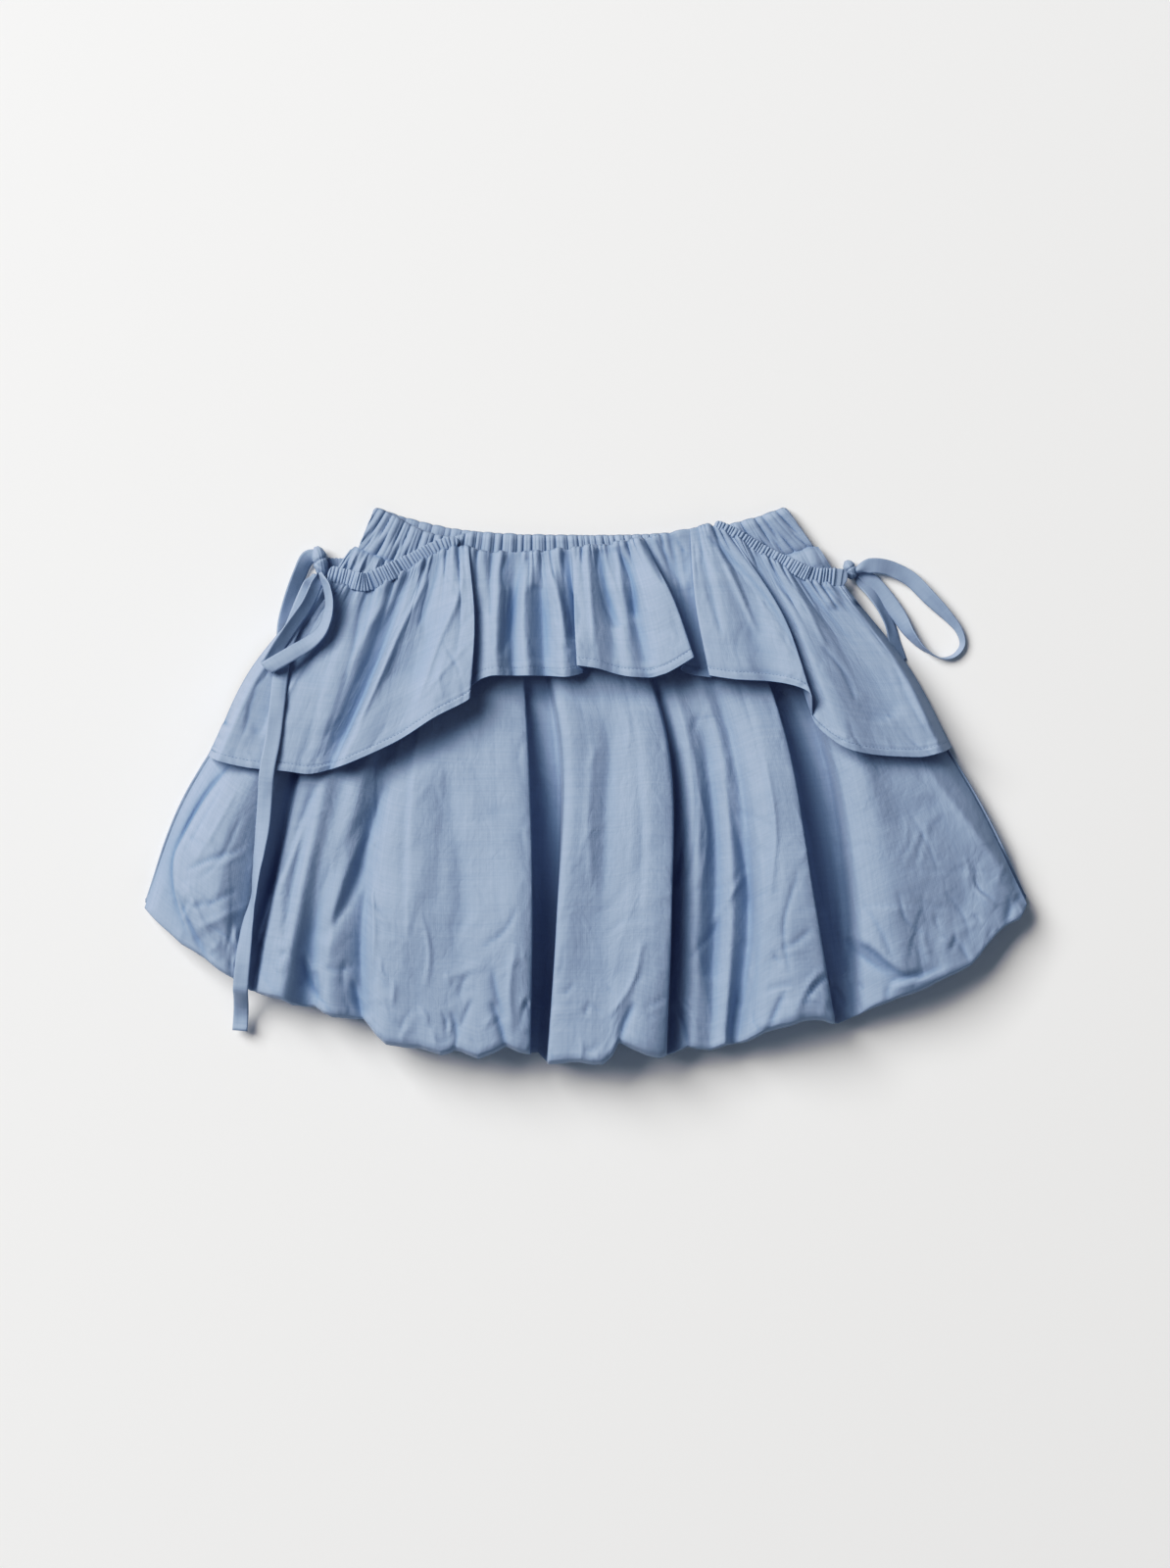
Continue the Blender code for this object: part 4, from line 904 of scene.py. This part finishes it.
flounceCreases = [
    (9, -8, 0, [(176, 128), (194, 100), (206, 74), (215, 46)]),
    (6, -5.45, 0, [(-35, 142), (-37, 130), (-35, 105), (-31, 88)]),
    (6, -6.4, 0, [(-200, 120), (-214, 92), (-226, 62), (-234, 34)]),
    (5, -7.2, 0, [(-119, 156), (-128, 132), (-141, 109), (-152, 87), (-166, 57), (-180, 29)]),
    (3, 3.85, 0, [(-113, 147), (-131, 112), (-146, 76), (-162, 42)]),
    (3.4, 2.9, 0, [(-142, 135), (-158, 105), (-169, 77)]),
    (2.6, -2.9, 0, [(-103, 165), (-110, 140), (-119, 112)]),
    (3, 2.9, 0, [(-91, 172), (-89, 141), (-105, 100), (-119, 57)]),
    (1.4, 1.1, 0, [(-81.5, 101), (-100, 81), (-115, 62.5)]),
    (2.2, -1.7, 0, [(-177, 133), (-187.5, 105), (-208, 70)]),
    (2.4, 1.7, 0, [(-194, 94), (-214, 62), (-228, 35)]),
    (2.4, -1.9, 0, [(-231, 77), (-238, 55), (-243, 34)]),
    (2, 1.45, 0, [(-210.5, 112), (-225, 89.5), (-237.5, 70)]),
    (3, -3.85, 0, [(-52, 165), (-58, 155), (-58, 140)]),
    (3.2, -4.15, 0, [(-42, 163), (-47, 147), (-53, 122), (-60, 90)]),
    (2.6, -2.25, 0, [(-34, 140), (-29, 119), (-27, 92)]),
    (3, 3.2, 0, [(-25, 154), (-17, 122), (-14, 97)]),
    (3.2, -5.75, 0, [(-15, 167), (-12, 144), (-8, 122), (-9, 102)]),
    (3.8, -6.7, 0, [(9, 168), (12, 147), (18, 127), (24, 112)]),
    (2.4, 1.9, 0, [(2, 158), (4, 126), (6, 98)]),
    (3, -4.8, 0, [(22, 170), (29, 157), (34, 143), (35, 119)]),
    (2, -2.15, 0, [(41, 173.5), (49.5, 157.5), (56.5, 141.5)]),
    (2, -2.4, 0, [(50.5, 175.5), (59, 161), (66, 145.5)]),
    (1.8, -2.15, 0, [(63.5, 180), (67.5, 171), (71.5, 164)]),
    (3, -4.15, 0, [(87, 178), (114, 151), (136, 122), (152, 92)]),
    (2.6, 2.9, 0, [(93, 172), (108, 140), (122, 108)]),
    (2.4, -1.9, 0, [(82, 168), (88, 140), (97, 105)]),
    (2.6, -3.85, 0, [(121, 166), (126, 150), (139, 127), (152, 108)]),
    (2, -2.15, 0, [(131, 158), (139, 141.5), (150, 127.5)]),
    (2.6, -3.2, 0, [(155, 147), (167, 130), (181, 112), (194, 98)]),
    (2.2, -2.15, 0, [(167, 145.5), (177, 136), (189.5, 123), (200.5, 112)]),
    (2.4, 1.9, 0, [(142, 150), (158, 126), (171, 98)]),
    (2.2, -1.7, 0, [(168.5, 98), (185, 77), (192, 59)]),
    (2, 0.6, 0, [(192, 59), (209, 70), (227, 77)]),
    (2.4, -0.6, 0, [(198, 45), (215, 56), (233, 60)]),
    (2.4, 1.7, 0, [(212, 105), (229, 77), (245, 42)]),
]


def edgeY(edge, x):
    points = np.array(edge) * mm
    return curveThrough(points[:, 0], points[:, 1], np.atleast_1d(x))


def frontFlouncePoints(cover):
    shape = flounceShape
    # rows crowd together at the hem, where the stitching dents the cloth
    down = np.interp(np.linspace(0, 1, shape["rows"] + 1), (0, 0.72, 1), (0, 0.92, 1))
    count = len(flounceFolds)
    x, y, base, lift = np.empty((4, count, len(down)))
    for index, fold in enumerate(flounceFolds):
        x[index] = curveThrough((0, 0.5, 1), np.array([fold.topX, fold.middleX, fold.hemX]) * mm, down)
        topY = edgeY(flounceTop, fold.topX * mm)[0]
        y[index] = topY + (fold.hemY * mm - topY) * down
        reach = shape["sideReach"] if index in (0, count - 1) else shape["reach"]
        base[index] = coverHeight(cover, x[index], y[index], reach * mm)
        lift[index] = curveThrough((0, 0.5, 1), np.array([0, fold.middleLift, fold.hemLift]) * mm, down)
    base[1:-1] = bridged(base[1:-1], shape["bridges"])
    base = base + (shape["wallRoom"] + shape["clearance"]) * mm
    z = np.maximum(base + np.maximum(lift, 0), shape["sideZ"] * mm)
    points = acrossFolds(np.dstack([x, y, z]), shape["columns"], int(shape["rows"] * shape["evenAt"]))
    rows, columns = points.shape[:2]
    y, z = points[..., 1], points[..., 2]
    u = np.tile(lengthAlong(points[rows // 2]), (rows, 1))
    v = np.cumsum(np.vstack([np.zeros(columns), np.linalg.norm(np.diff(points, axis=0), axis=2)]), axis=0)
    fromHem = v[-1] - v
    weight = smoothStep(np.minimum(u, u.max() - u) / shape["edgeFade"])
    floorZ = z - (shape["clearance"] + shape["pressRoom"]) * mm
    # gathers drawn in along the top wander and run out at their own lengths
    wander = softNoise(u, v, *shape["wanderGrain"], shape["wanderSeed"]) * shape["wander"] * v
    places = points[0, :, 0] / mm + wander
    paintedSlitShade = np.zeros(v.shape)
    end = shape["gathersTo"]
    for pitch, length, depth, seed in shape["gathers"]:
        valleys = unevenPlaces(-end, end, pitch, shape["gatherSpread"], seed)
        puff = ruffle(places, valleys, seed) - shape["gatherLow"]
        own = length * (1 + shape["ownLength"] * softNoise(u, v * 0, shape["ownGrain"], 1, seed + 3))
        fade = np.exp(-v / own) * weight
        z += puff * depth * mm * fade
        pull = depth * shape["gatherPull"] * mm * np.exp(-v / shape["gatherPullLength"]) * weight
        y += (puff + shape["slitFrom"]) * pull
        # painted shade in the slits between the finer gathers near the top
        if pitch < shape["widestSlit"]:
            deep = np.clip((-shape["slitFrom"] - puff) / shape["slitOver"], 0, 1)
            paintedSlitShade = np.maximum(paintedSlitShade, deep * fade)
    z -= shape["topDrop"] * mm * np.clip(1 - v / shape["topDropLength"], 0, 1)**2
    z += sagging(u, v, shape) * mm * weight * smoothStep(v / shape["sagFrom"])
    shade = pressLines(points, flounceCreases, weight)
    for look in shape["smallCreases"]:
        scatterLines(points, weight, look)
    z[:] = np.maximum(z, floorZ)
    # the turned hem is a little thicker, with a dent along its stitching
    intoHem = shape["hemWidth"] - fromHem / mm
    dent = np.exp(-(intoHem / shape["dentWidth"])**2)
    z += shape["hemStep"] * (smoothStep(intoHem + 0.5) - dent) * mm
    return points, fromHem, shade + paintedSlitShade * shape["slitShade"]


# Drawn-up casings along the flounce's upper edge
casingShape = {
    "gap": -1.0, "pitch": 2.5, "spread": 0.3, "reach": 7, "lift": 2.6, "lowest": 8, "flatZ": 0.2,
    "bridges": 6, "plainFrom": 0.93, "plainOver": 0.02, "sharp": 0.8, "closing": 2.5, "sections": 420,
    "sides": 24, "backLift": 0.6,
}
Casing = namedtuple("Casing", "node ends widths half rise seed")
frontCasings = [
    Casing("casing_left_front", (-186, -91), (12.5, 12, 7), 1.5, 1.15, 71),
    Casing("casing_right_front", (92, 186.2), (5.5, 8.5, 13.5), 1.5, 1.15, 73),
]
backCasings = [
    Casing("casing_left_back", (-187, -150), (7, 7, 7), 0.55, 0.3, 75),
    Casing("casing_right_back", (150, 187), (7, 7, 7), 0.55, 0.3, 77),
]


def casingPoints(edge, casing, base):
    # a gathered tube along an edge, over what lies below it or flat on the floor
    shape = casingShape
    shares = np.linspace(0, 1, shape["sections"])
    x = np.linspace(*casing.ends, shape["sections"]) * mm
    y = edgeY(edge, x)
    line = np.column_stack([x, y])
    along = unit(np.gradient(line, axis=0))
    across = np.column_stack([-along[:, 1], along[:, 0]])
    length = lengthAlong(line) / mm
    width = curveThrough((0, 0.5, 1), casing.widths, shares)
    valleys = unevenPlaces(0, length[-1] + 0.01, shape["pitch"], shape["spread"], casing.seed)
    if len(base):
        top = coverHeight(base, x, y, shape["reach"] * mm) / mm + shape["lift"]
        top = np.maximum(bridged(top, shape["bridges"]), shape["lowest"])
    else:
        top = np.full(len(x), shape["flatZ"])
    gathered = smoothStep((shape["plainFrom"] - shares) / shape["plainOver"]) if casing.ends[0] > 0 else 1
    ripple, tips = [ruffle(length, valleys, seed, shape["sharp"]) * gathered
                    for seed in (casing.seed, casing.seed + 1)]
    closing = np.sqrt(np.clip(np.minimum(length, length[-1] - length) / shape["closing"], 0.001, 1))
    rows = []
    for angle in np.linspace(0, math.tau, shape["sides"] + 1)[:-1]:
        share = 0.5 - 0.5 * math.cos(angle)
        bulge = math.sin(angle)
        puff = ripple + (tips - ripple) * smoothStep(share * 1.4 - 0.2)
        spread = shape["gap"] + width * (0.5 + (share - 0.5) * closing) + (share - 0.5) * puff * 1.5
        place = line + across * (spread * mm)[:, None]
        swell = bulge if bulge < 0 else bulge**0.6 * (0.35 + casing.rise * puff)
        rows.append(np.column_stack([place, (top + casing.half * closing * swell) * mm]))
    return np.array(rows)


# Ties: folded strips laid in bows
TiePoint = namedtuple("TiePoint", "x y lift roll width", defaults=[1])
LoopPoint = namedtuple("LoopPoint", "x y lift turn tilt width", defaults=[1])  # turn and tilt of the width
Tie = namedtuple("Tie", "node length kind looped onCloth route")
tieList = [
    Tie("tie_left_under", 0.068, TiePoint, False, False, [
        (-190, 162, 8, 0), (-195, 164.5, 8, 10), (-200.5, 161, 6.5, 24), (-205, 152, 5.2, 34),
        (-209, 142, 4, 34), (-213, 129, 3.4, 28), (-216, 116, 2.6, 20), (-217, 104, 1.6, 10),
    ]),
    Tie("tie_right_under", 0.077, TiePoint, False, False, [
        (193.6, 152.6, 0.8, 0), (205, 139, 3.8, 30), (213, 126, 4.4, 46), (218.5, 114, 4.4, 46),
        (222, 102, 4.2, 38), (226, 88, 2.8, 18),
    ]),
    Tie("tie_left_tail", 0.39, TiePoint, False, True, [
        (-194.2, 149.9, -1.6, 0), (-199, 137, 3.2, 0), (-205, 122, 2.6, 0), (-214, 98, 2, 0),
        (-217, 79, 2, 0), (-219, 57, 2, 0), (-222, 31, 2, 0), (-226, 7, 2, -8), (-229, -29, 3, -24),
        (-234, -63, 5, -58), (-236, -82, 5.5, -70), (-241, -106, 3, -34), (-244, -130, 2, -12),
        (-246, -152, 4, -10), (-248, -177, 9, -10),
    ]),
    # the left loop folds flat over its far end
    Tie("tie_left_loop", 0.20, LoopPoint, True, True, [
        (-190, 151, 4, -15, -46), (-193, 140, 4, -19, -46), (-199, 127, 3.8, -34, -44),
        (-210, 111, 3.6, -37, -40), (-219, 97, 3.2, -40, -32), (-224.5, 87, 3, -43, -14),
        (-227, 82.5, 5.2, -43, 0), (-222, 85, 7.8, -46, 6), (-207, 94, 8, -56, 14),
        (-195.5, 101.5, 8, -50, 26), (-187, 111, 8, -26, 44), (-183, 126, 7.4, 0, 56),
        (-184.4, 139.3, 6.4, 8, 56), (-189, 151, 5, 10, 50),
    ]),
    Tie("tie_right_loop", 0.228, TiePoint, True, False, [
        (194.2, 153, 7.5, 0), (201, 156, 8, -8), (210, 156.6, 7.5, -4), (221, 154, 5, 0),
        (234, 147, 4, -12), (247, 134, 5, -28), (259, 122, 4.4, -38, 0.85), (268, 111, 3.4, -42, 0.6),
        (271, 100, 2.8, -46, 0.45), (265, 92, 2.8, -60, 0.45), (255, 90.5, 3.2, -80, 0.5),
        (243, 97, 4.4, -104, 0.7), (233, 108, 5, -132, 0.9), (225, 121, 4, -160), (216, 134, 3.4, -172),
        (206, 145, 3.6, -176), (196, 151.5, 4.4, -180),
    ]),
]
tieShape = {
    "width": 11, "wall": 0.7, "reach": 7, "bridges": 20, "steps": 10, "strands": 9, "sway": 0.5,
    "cup": 0.25, "knotCup": 1.2, "pinched": 0.4, "pinch": 11, "foldShadeGrain": 9,
}


def tiePoints(tie, cover):
    shape = tieShape
    count = len(tie.route)
    table = np.array([tie.kind(*row) for row in tie.route], dtype=float)
    table[:, :3] *= mm
    table[:, 3:-1] = np.radians(table[:, 3:-1])
    line = curveThrough(range(count), table, np.linspace(0, count - 1, (count - 1) * shape["steps"] + 1))
    beneath = coverHeight(cover, line[:, 0], line[:, 1], shape["reach"] * mm)
    line[:, 2] += bridged(beneath, shape["bridges"])
    heading = unit(np.gradient(line[:, :3], axis=0))
    if tie.kind is LoopPoint:
        turn, tilt = line[:, 3], line[:, 4]
        side = np.column_stack([np.cos(turn) * np.cos(tilt), np.sin(turn) * np.cos(tilt), np.sin(tilt)])
    else:
        level = unit(np.cross(heading, (0, 0, 1)))
        side = level * np.cos(line[:, 3:4]) + np.cross(level, heading) * np.sin(line[:, 3:4])
    face = unit(np.cross(side, heading))
    length = lengthAlong(line[:, :3])
    rise = softNoise(length, length * 0, 0.012, 1, count) * shape["sway"]
    twist = softNoise(length, length * 0, 0.009, 1, count + 9) * shape["sway"]
    # a strip is drawn together where it comes out of the knot
    fromKnot = np.minimum(length, length[-1] - length) if tie.looped else length
    opened = smoothStep(fromKnot / (shape["pinch"] * mm))
    width = shape["width"] * mm * (shape["pinched"] + (1 - shape["pinched"]) * opened) * line[:, -1]
    strip = []
    for share in np.linspace(-0.5, 0.5, shape["strands"]):
        cup = (shape["cup"] + shape["knotCup"] * (1 - opened)) * (1 - 4 * share**2)
        cup = cup + rise * math.cos(share * 5) + twist * share
        strip.append(line[:, :3] + side * (width * share)[:, None] + face * (cup * mm)[:, None])
    return np.array(strip)


Knot = namedtuple("Knot", "node x y z halfX halfY halfZ turn")
knots = [
    Knot("tie_left_knot", -190.4, 159.5, 7.6, 6.4, 9.6, 6.8, 12),
    Knot("tie_right_knot", 190.0, 154.0, 5.8, 5.4, 6.0, 5.3, 20),
]
knotGrooves = ((0.13, -0.22, -0.12, 0.11), (0.10, 0.5, 0.42, 0.1))  # depth, slant, place, width


def makeKnot(knot, material):
    # a wound knot: strands wrap the short way round, with grooves between them
    mesh = bpy.data.meshes.new(knot.node)
    ball = bmesh.new()
    bmesh.ops.create_icosphere(ball, subdivisions=5, radius=1)
    turn = math.radians(knot.turn)
    for vertex in ball.verts:
        x, y, z = vertex.co
        groove = sum(depth * math.exp(-((y + slant * x + place) / width)**2)
                     for depth, slant, place, width in knotGrooves)
        crease = 0.03 * math.sin(9 * y + 4 * x) + 0.02 * math.sin(17 * x - 6 * z)
        waist = 1 - 0.18 * math.cos(2 * math.atan2(y, x)) * (1 - z * z) - groove + crease
        x *= knot.halfX * waist
        y *= knot.halfY * waist
        vertex.co = (
            (knot.x + x * math.cos(turn) - y * math.sin(turn)) * mm,
            (knot.y + x * math.sin(turn) + y * math.cos(turn)) * mm,
            (knot.z + z * knot.halfZ * waist) * mm)
    ball.to_mesh(mesh)
    ball.free()
    grid = mesh.uv_layers.new(name="clothGrid")
    for corner in mesh.loops:
        place = mesh.vertices[corner.vertex_index].co
        grid.data[corner.index].uv = (place.x + place.z, place.y)
    placePiece(knot.node + "_wound", mesh, material, knot.node)


# Topstitching along the flounce's hem
stitchLook = {
    "pitch": 2.7, "length": 1.9, "radius": 0.22, "inFromEdge": 6, "proud": 0.5, "arch": 0.25, "sides": 6,
    "profile": ((0, 0.35), (0.18, 0.95), (0.5, 1.1), (0.82, 0.95), (1, 0.35)),  # share along, thickness
}


def makeStitches(name, line, up, material):
    look = stitchLook
    sides = look["sides"]
    length = lengthAlong(line)
    vertices, faces = [], []
    for index in range(int(length[-1] / (look["pitch"] * mm))):
        middle = (index + 0.5) * look["pitch"] * mm
        ends = [middle - look["length"] / 2 * mm, middle + look["length"] / 2 * mm]
        start, finish = [
            np.array([np.interp(end, length, line[:, axis]) for axis in range(3)]) for end in ends]
        normal = np.array([np.interp(middle, length, up[:, axis]) for axis in range(3)])
        heading = unit(finish - start)
        side = unit(np.cross(heading, normal))
        normal = np.cross(side, heading)
        first = len(vertices)
        for share, size in look["profile"]:
            lift = look["proud"] - look["arch"] * (2 * share - 1)**2
            centre = start + (finish - start) * share + normal * lift * mm
            for turn in range(sides):
                angle = turn * math.tau / sides
                ray = side * math.cos(angle) + normal * math.sin(angle)
                vertices.append(centre + ray * look["radius"] * size * mm)
        rings = len(look["profile"]) - 1
        for ring in range(rings):
            for turn in range(sides):
                a = first + ring * sides + turn
                b = first + ring * sides + (turn + 1) % sides
                faces.append((a, b, b + sides, a + sides))
        faces.append(tuple(first + sides - 1 - turn for turn in range(sides)))
        faces.append(tuple(first + rings * sides + turn for turn in range(sides)))
    mesh = bpy.data.meshes.new(name)
    mesh.from_pydata([tuple(vertex) for vertex in vertices], [], faces)
    return placePiece(name, mesh, material)


def surfaceUp(points):
    return unit(np.cross(np.gradient(points, axis=0), np.gradient(points, axis=1)))


# Build the skirt
shellCloth = clothMaterial("shell cloth")
flounceCloth = clothMaterial("flounce cloth", 0.9)
bandCloth = clothMaterial("band cloth", 0.5)
tieCloth = clothMaterial("tie cloth", 0.5)

shell, shellShade = frontShellPoints()
shellFront = makeSheet("shell_front", shell, 0, shellCloth, shade=shellShade)
print("front shell laid")
shellBack = makeSheet("shell_back", backShellPoints(), backShape["wall"], shellCloth)
print("back shell laid")

band = bandShape
frontBand = bandPoints(band["frontZ"], band["frontPuff"], band["frontSeed"], band["frontSink"])
backBand = bandPoints(band["backZ"], band["backPuff"], band["backSeed"])
bandFront, bandBack = [
    makeSheet(node, points, band["wall"], bandCloth, grain=band["foldShadeGrain"])
    for node, points in (("waistband_front", frontBand), ("waistband_back", backBand))]
print("waistband gathered")

# what the flounce lies on, thinned out
cover = np.vstack([
    shell[:shellShape["rows"] + 6:2, ::3].reshape(-1, 3),
    frontBand[::3, ::4].reshape(-1, 3) + (0, 0, 0.6 * mm)])
flounce, fromHem, flounceShade = frontFlouncePoints(cover)
flounceFront = makeSheet(
    "flounce_front", flounce, flounceShape["wall"], flounceCloth,
    grain=flounceShape["foldShadeGrain"], shade=flounceShade)
flounceBack = makeSheet(
    "flounce_back", backFlouncePoints(24, 120), flounceShape["backWall"], flounceCloth)
print("flounce laid")

rowAt = np.argmax(fromHem <= stitchLook["inFromEdge"] * mm, axis=0)
columnsAt = np.arange(3, flounce.shape[1] - 3)
stitched = (rowAt[columnsAt], columnsAt)
thread = clothMaterial("thread", 0.2, 0.8)
stitches = makeStitches("flounce_hem_stitching", flounce[stitched], surfaceUp(flounce)[stitched], thread)
print("hem stitched")

backEdge = [(fold.topX, fold.topY) for fold in backFlounceFolds]
for casing in frontCasings:
    points = casingPoints(flounceTop, casing, cover)
    makeSheet(casing.node, points, 0, bandCloth, joined=True)
for casing in backCasings:
    points = casingPoints(backEdge, casing, cover[:0]) + (0, 0, casingShape["backLift"] * mm)
    makeSheet(casing.node, points, 0, bandCloth, joined=True)
print("casings drawn up")

for knot in knots:
    makeKnot(knot, tieCloth)
tieCover = np.vstack([cover, flounce[::2, ::3].reshape(-1, 3)])
for tie in tieList:
    strip = tiePoints(tie, tieCover if tie.onCloth else tieCover[:0])
    makeSheet(
        tie.node, strip, tieShape["wall"], tieCloth, grain=tieShape["foldShadeGrain"])
    tieCover = np.vstack([tieCover, strip.reshape(-1, 3)])
print("ties tied")

# Floor, light and camera
floorBoard = Board("pale floor")
floorBoard.shade(Base_Color=(0.86, 0.86, 0.855, 1), Roughness=0.9)
bpy.ops.mesh.primitive_plane_add(size=8, location=(0, 0, -0.0004))
floor = bpy.context.object
floor.name = "floor"
floor.data.materials.append(floorBoard.material)

studio = {
    "keyPlace": (-6.7, 4.9, 8.6), "keySize": 7.6, "keyPower": 1850,
    "fillPlace": (1.6, -3.6, 3.4), "fillSize": 3.0, "fillPower": 12, "sky": 0.13,
    "distance": 3.0, "frameHeight": 1.12, "focusZ": 0.022, "cameraX": -0.0004, "sensor": 36, "clipEnd": 20,
    # points of the tone curves: 3 is all channels, 0 red and 2 blue
    "tone": {
        3: ((0.02, 0.010), (0.05, 0.030), (0.1, 0.068), (0.15, 0.112), (0.2, 0.160), (0.28, 0.248),
            (0.36, 0.352), (0.45, 0.462), (0.6, 0.61), (0.8, 0.8)),
        0: ((0.041, 0.035), (0.075, 0.061), (0.117, 0.098), (0.168, 0.150), (0.231, 0.224), (0.35, 0.35)),
        2: ((0.033, 0.051), (0.06, 0.081), (0.105, 0.132), (0.165, 0.193), (0.246, 0.270), (0.347, 0.354),
            (0.5, 0.5)),
    },
}


def addArea(name, place, size, power, target=(0, 0, 0)):
    lamp = bpy.data.lights.new(name, "AREA")
    lamp.shape = "SQUARE"
    lamp.size = size
    lamp.energy = power
    holder = bpy.data.objects.new(name, lamp)
    bpy.context.scene.collection.objects.link(holder)
    holder.location = place
    way = np.array(target) - np.array(place)
    flat = math.hypot(way[0], way[1])
    holder.rotation_euler = (math.atan2(flat, -way[2]), 0, math.atan2(way[1], way[0]) - math.pi / 2)
    return holder


addArea("key", studio["keyPlace"], studio["keySize"], studio["keyPower"])
addArea("fill", studio["fillPlace"], studio["fillSize"], studio["fillPower"])
world = bpy.data.worlds.new("studio")
bpy.context.scene.world = world
world.use_nodes = True
world.node_tree.nodes["Background"].inputs["Color"].default_value = (1, 1, 1, 1)
world.node_tree.nodes["Background"].inputs["Strength"].default_value = studio["sky"]
view = bpy.context.scene.view_settings
view.view_transform = "Standard"
# the contrast of a camera's own picture: shadows fall off deeper than the light does, and bluer
view.use_curve_mapping = True
for channel, levels in studio["tone"].items():
    for place, level in levels:
        view.curve_mapping.curves[channel].points.new(place, level)
view.curve_mapping.update()

camera = bpy.data.objects.new("camera", bpy.data.cameras.new("camera"))
bpy.context.scene.collection.objects.link(camera)
camera.location = (studio["cameraX"], 0, studio["distance"] + studio["focusZ"])
camera.data.sensor_fit = "VERTICAL"
camera.data.sensor_height = studio["sensor"]
camera.data.lens = studio["sensor"] * studio["distance"] / studio["frameHeight"]
camera.data.clip_end = studio["clipEnd"]
bpy.context.scene.camera = camera
print("stage lit")
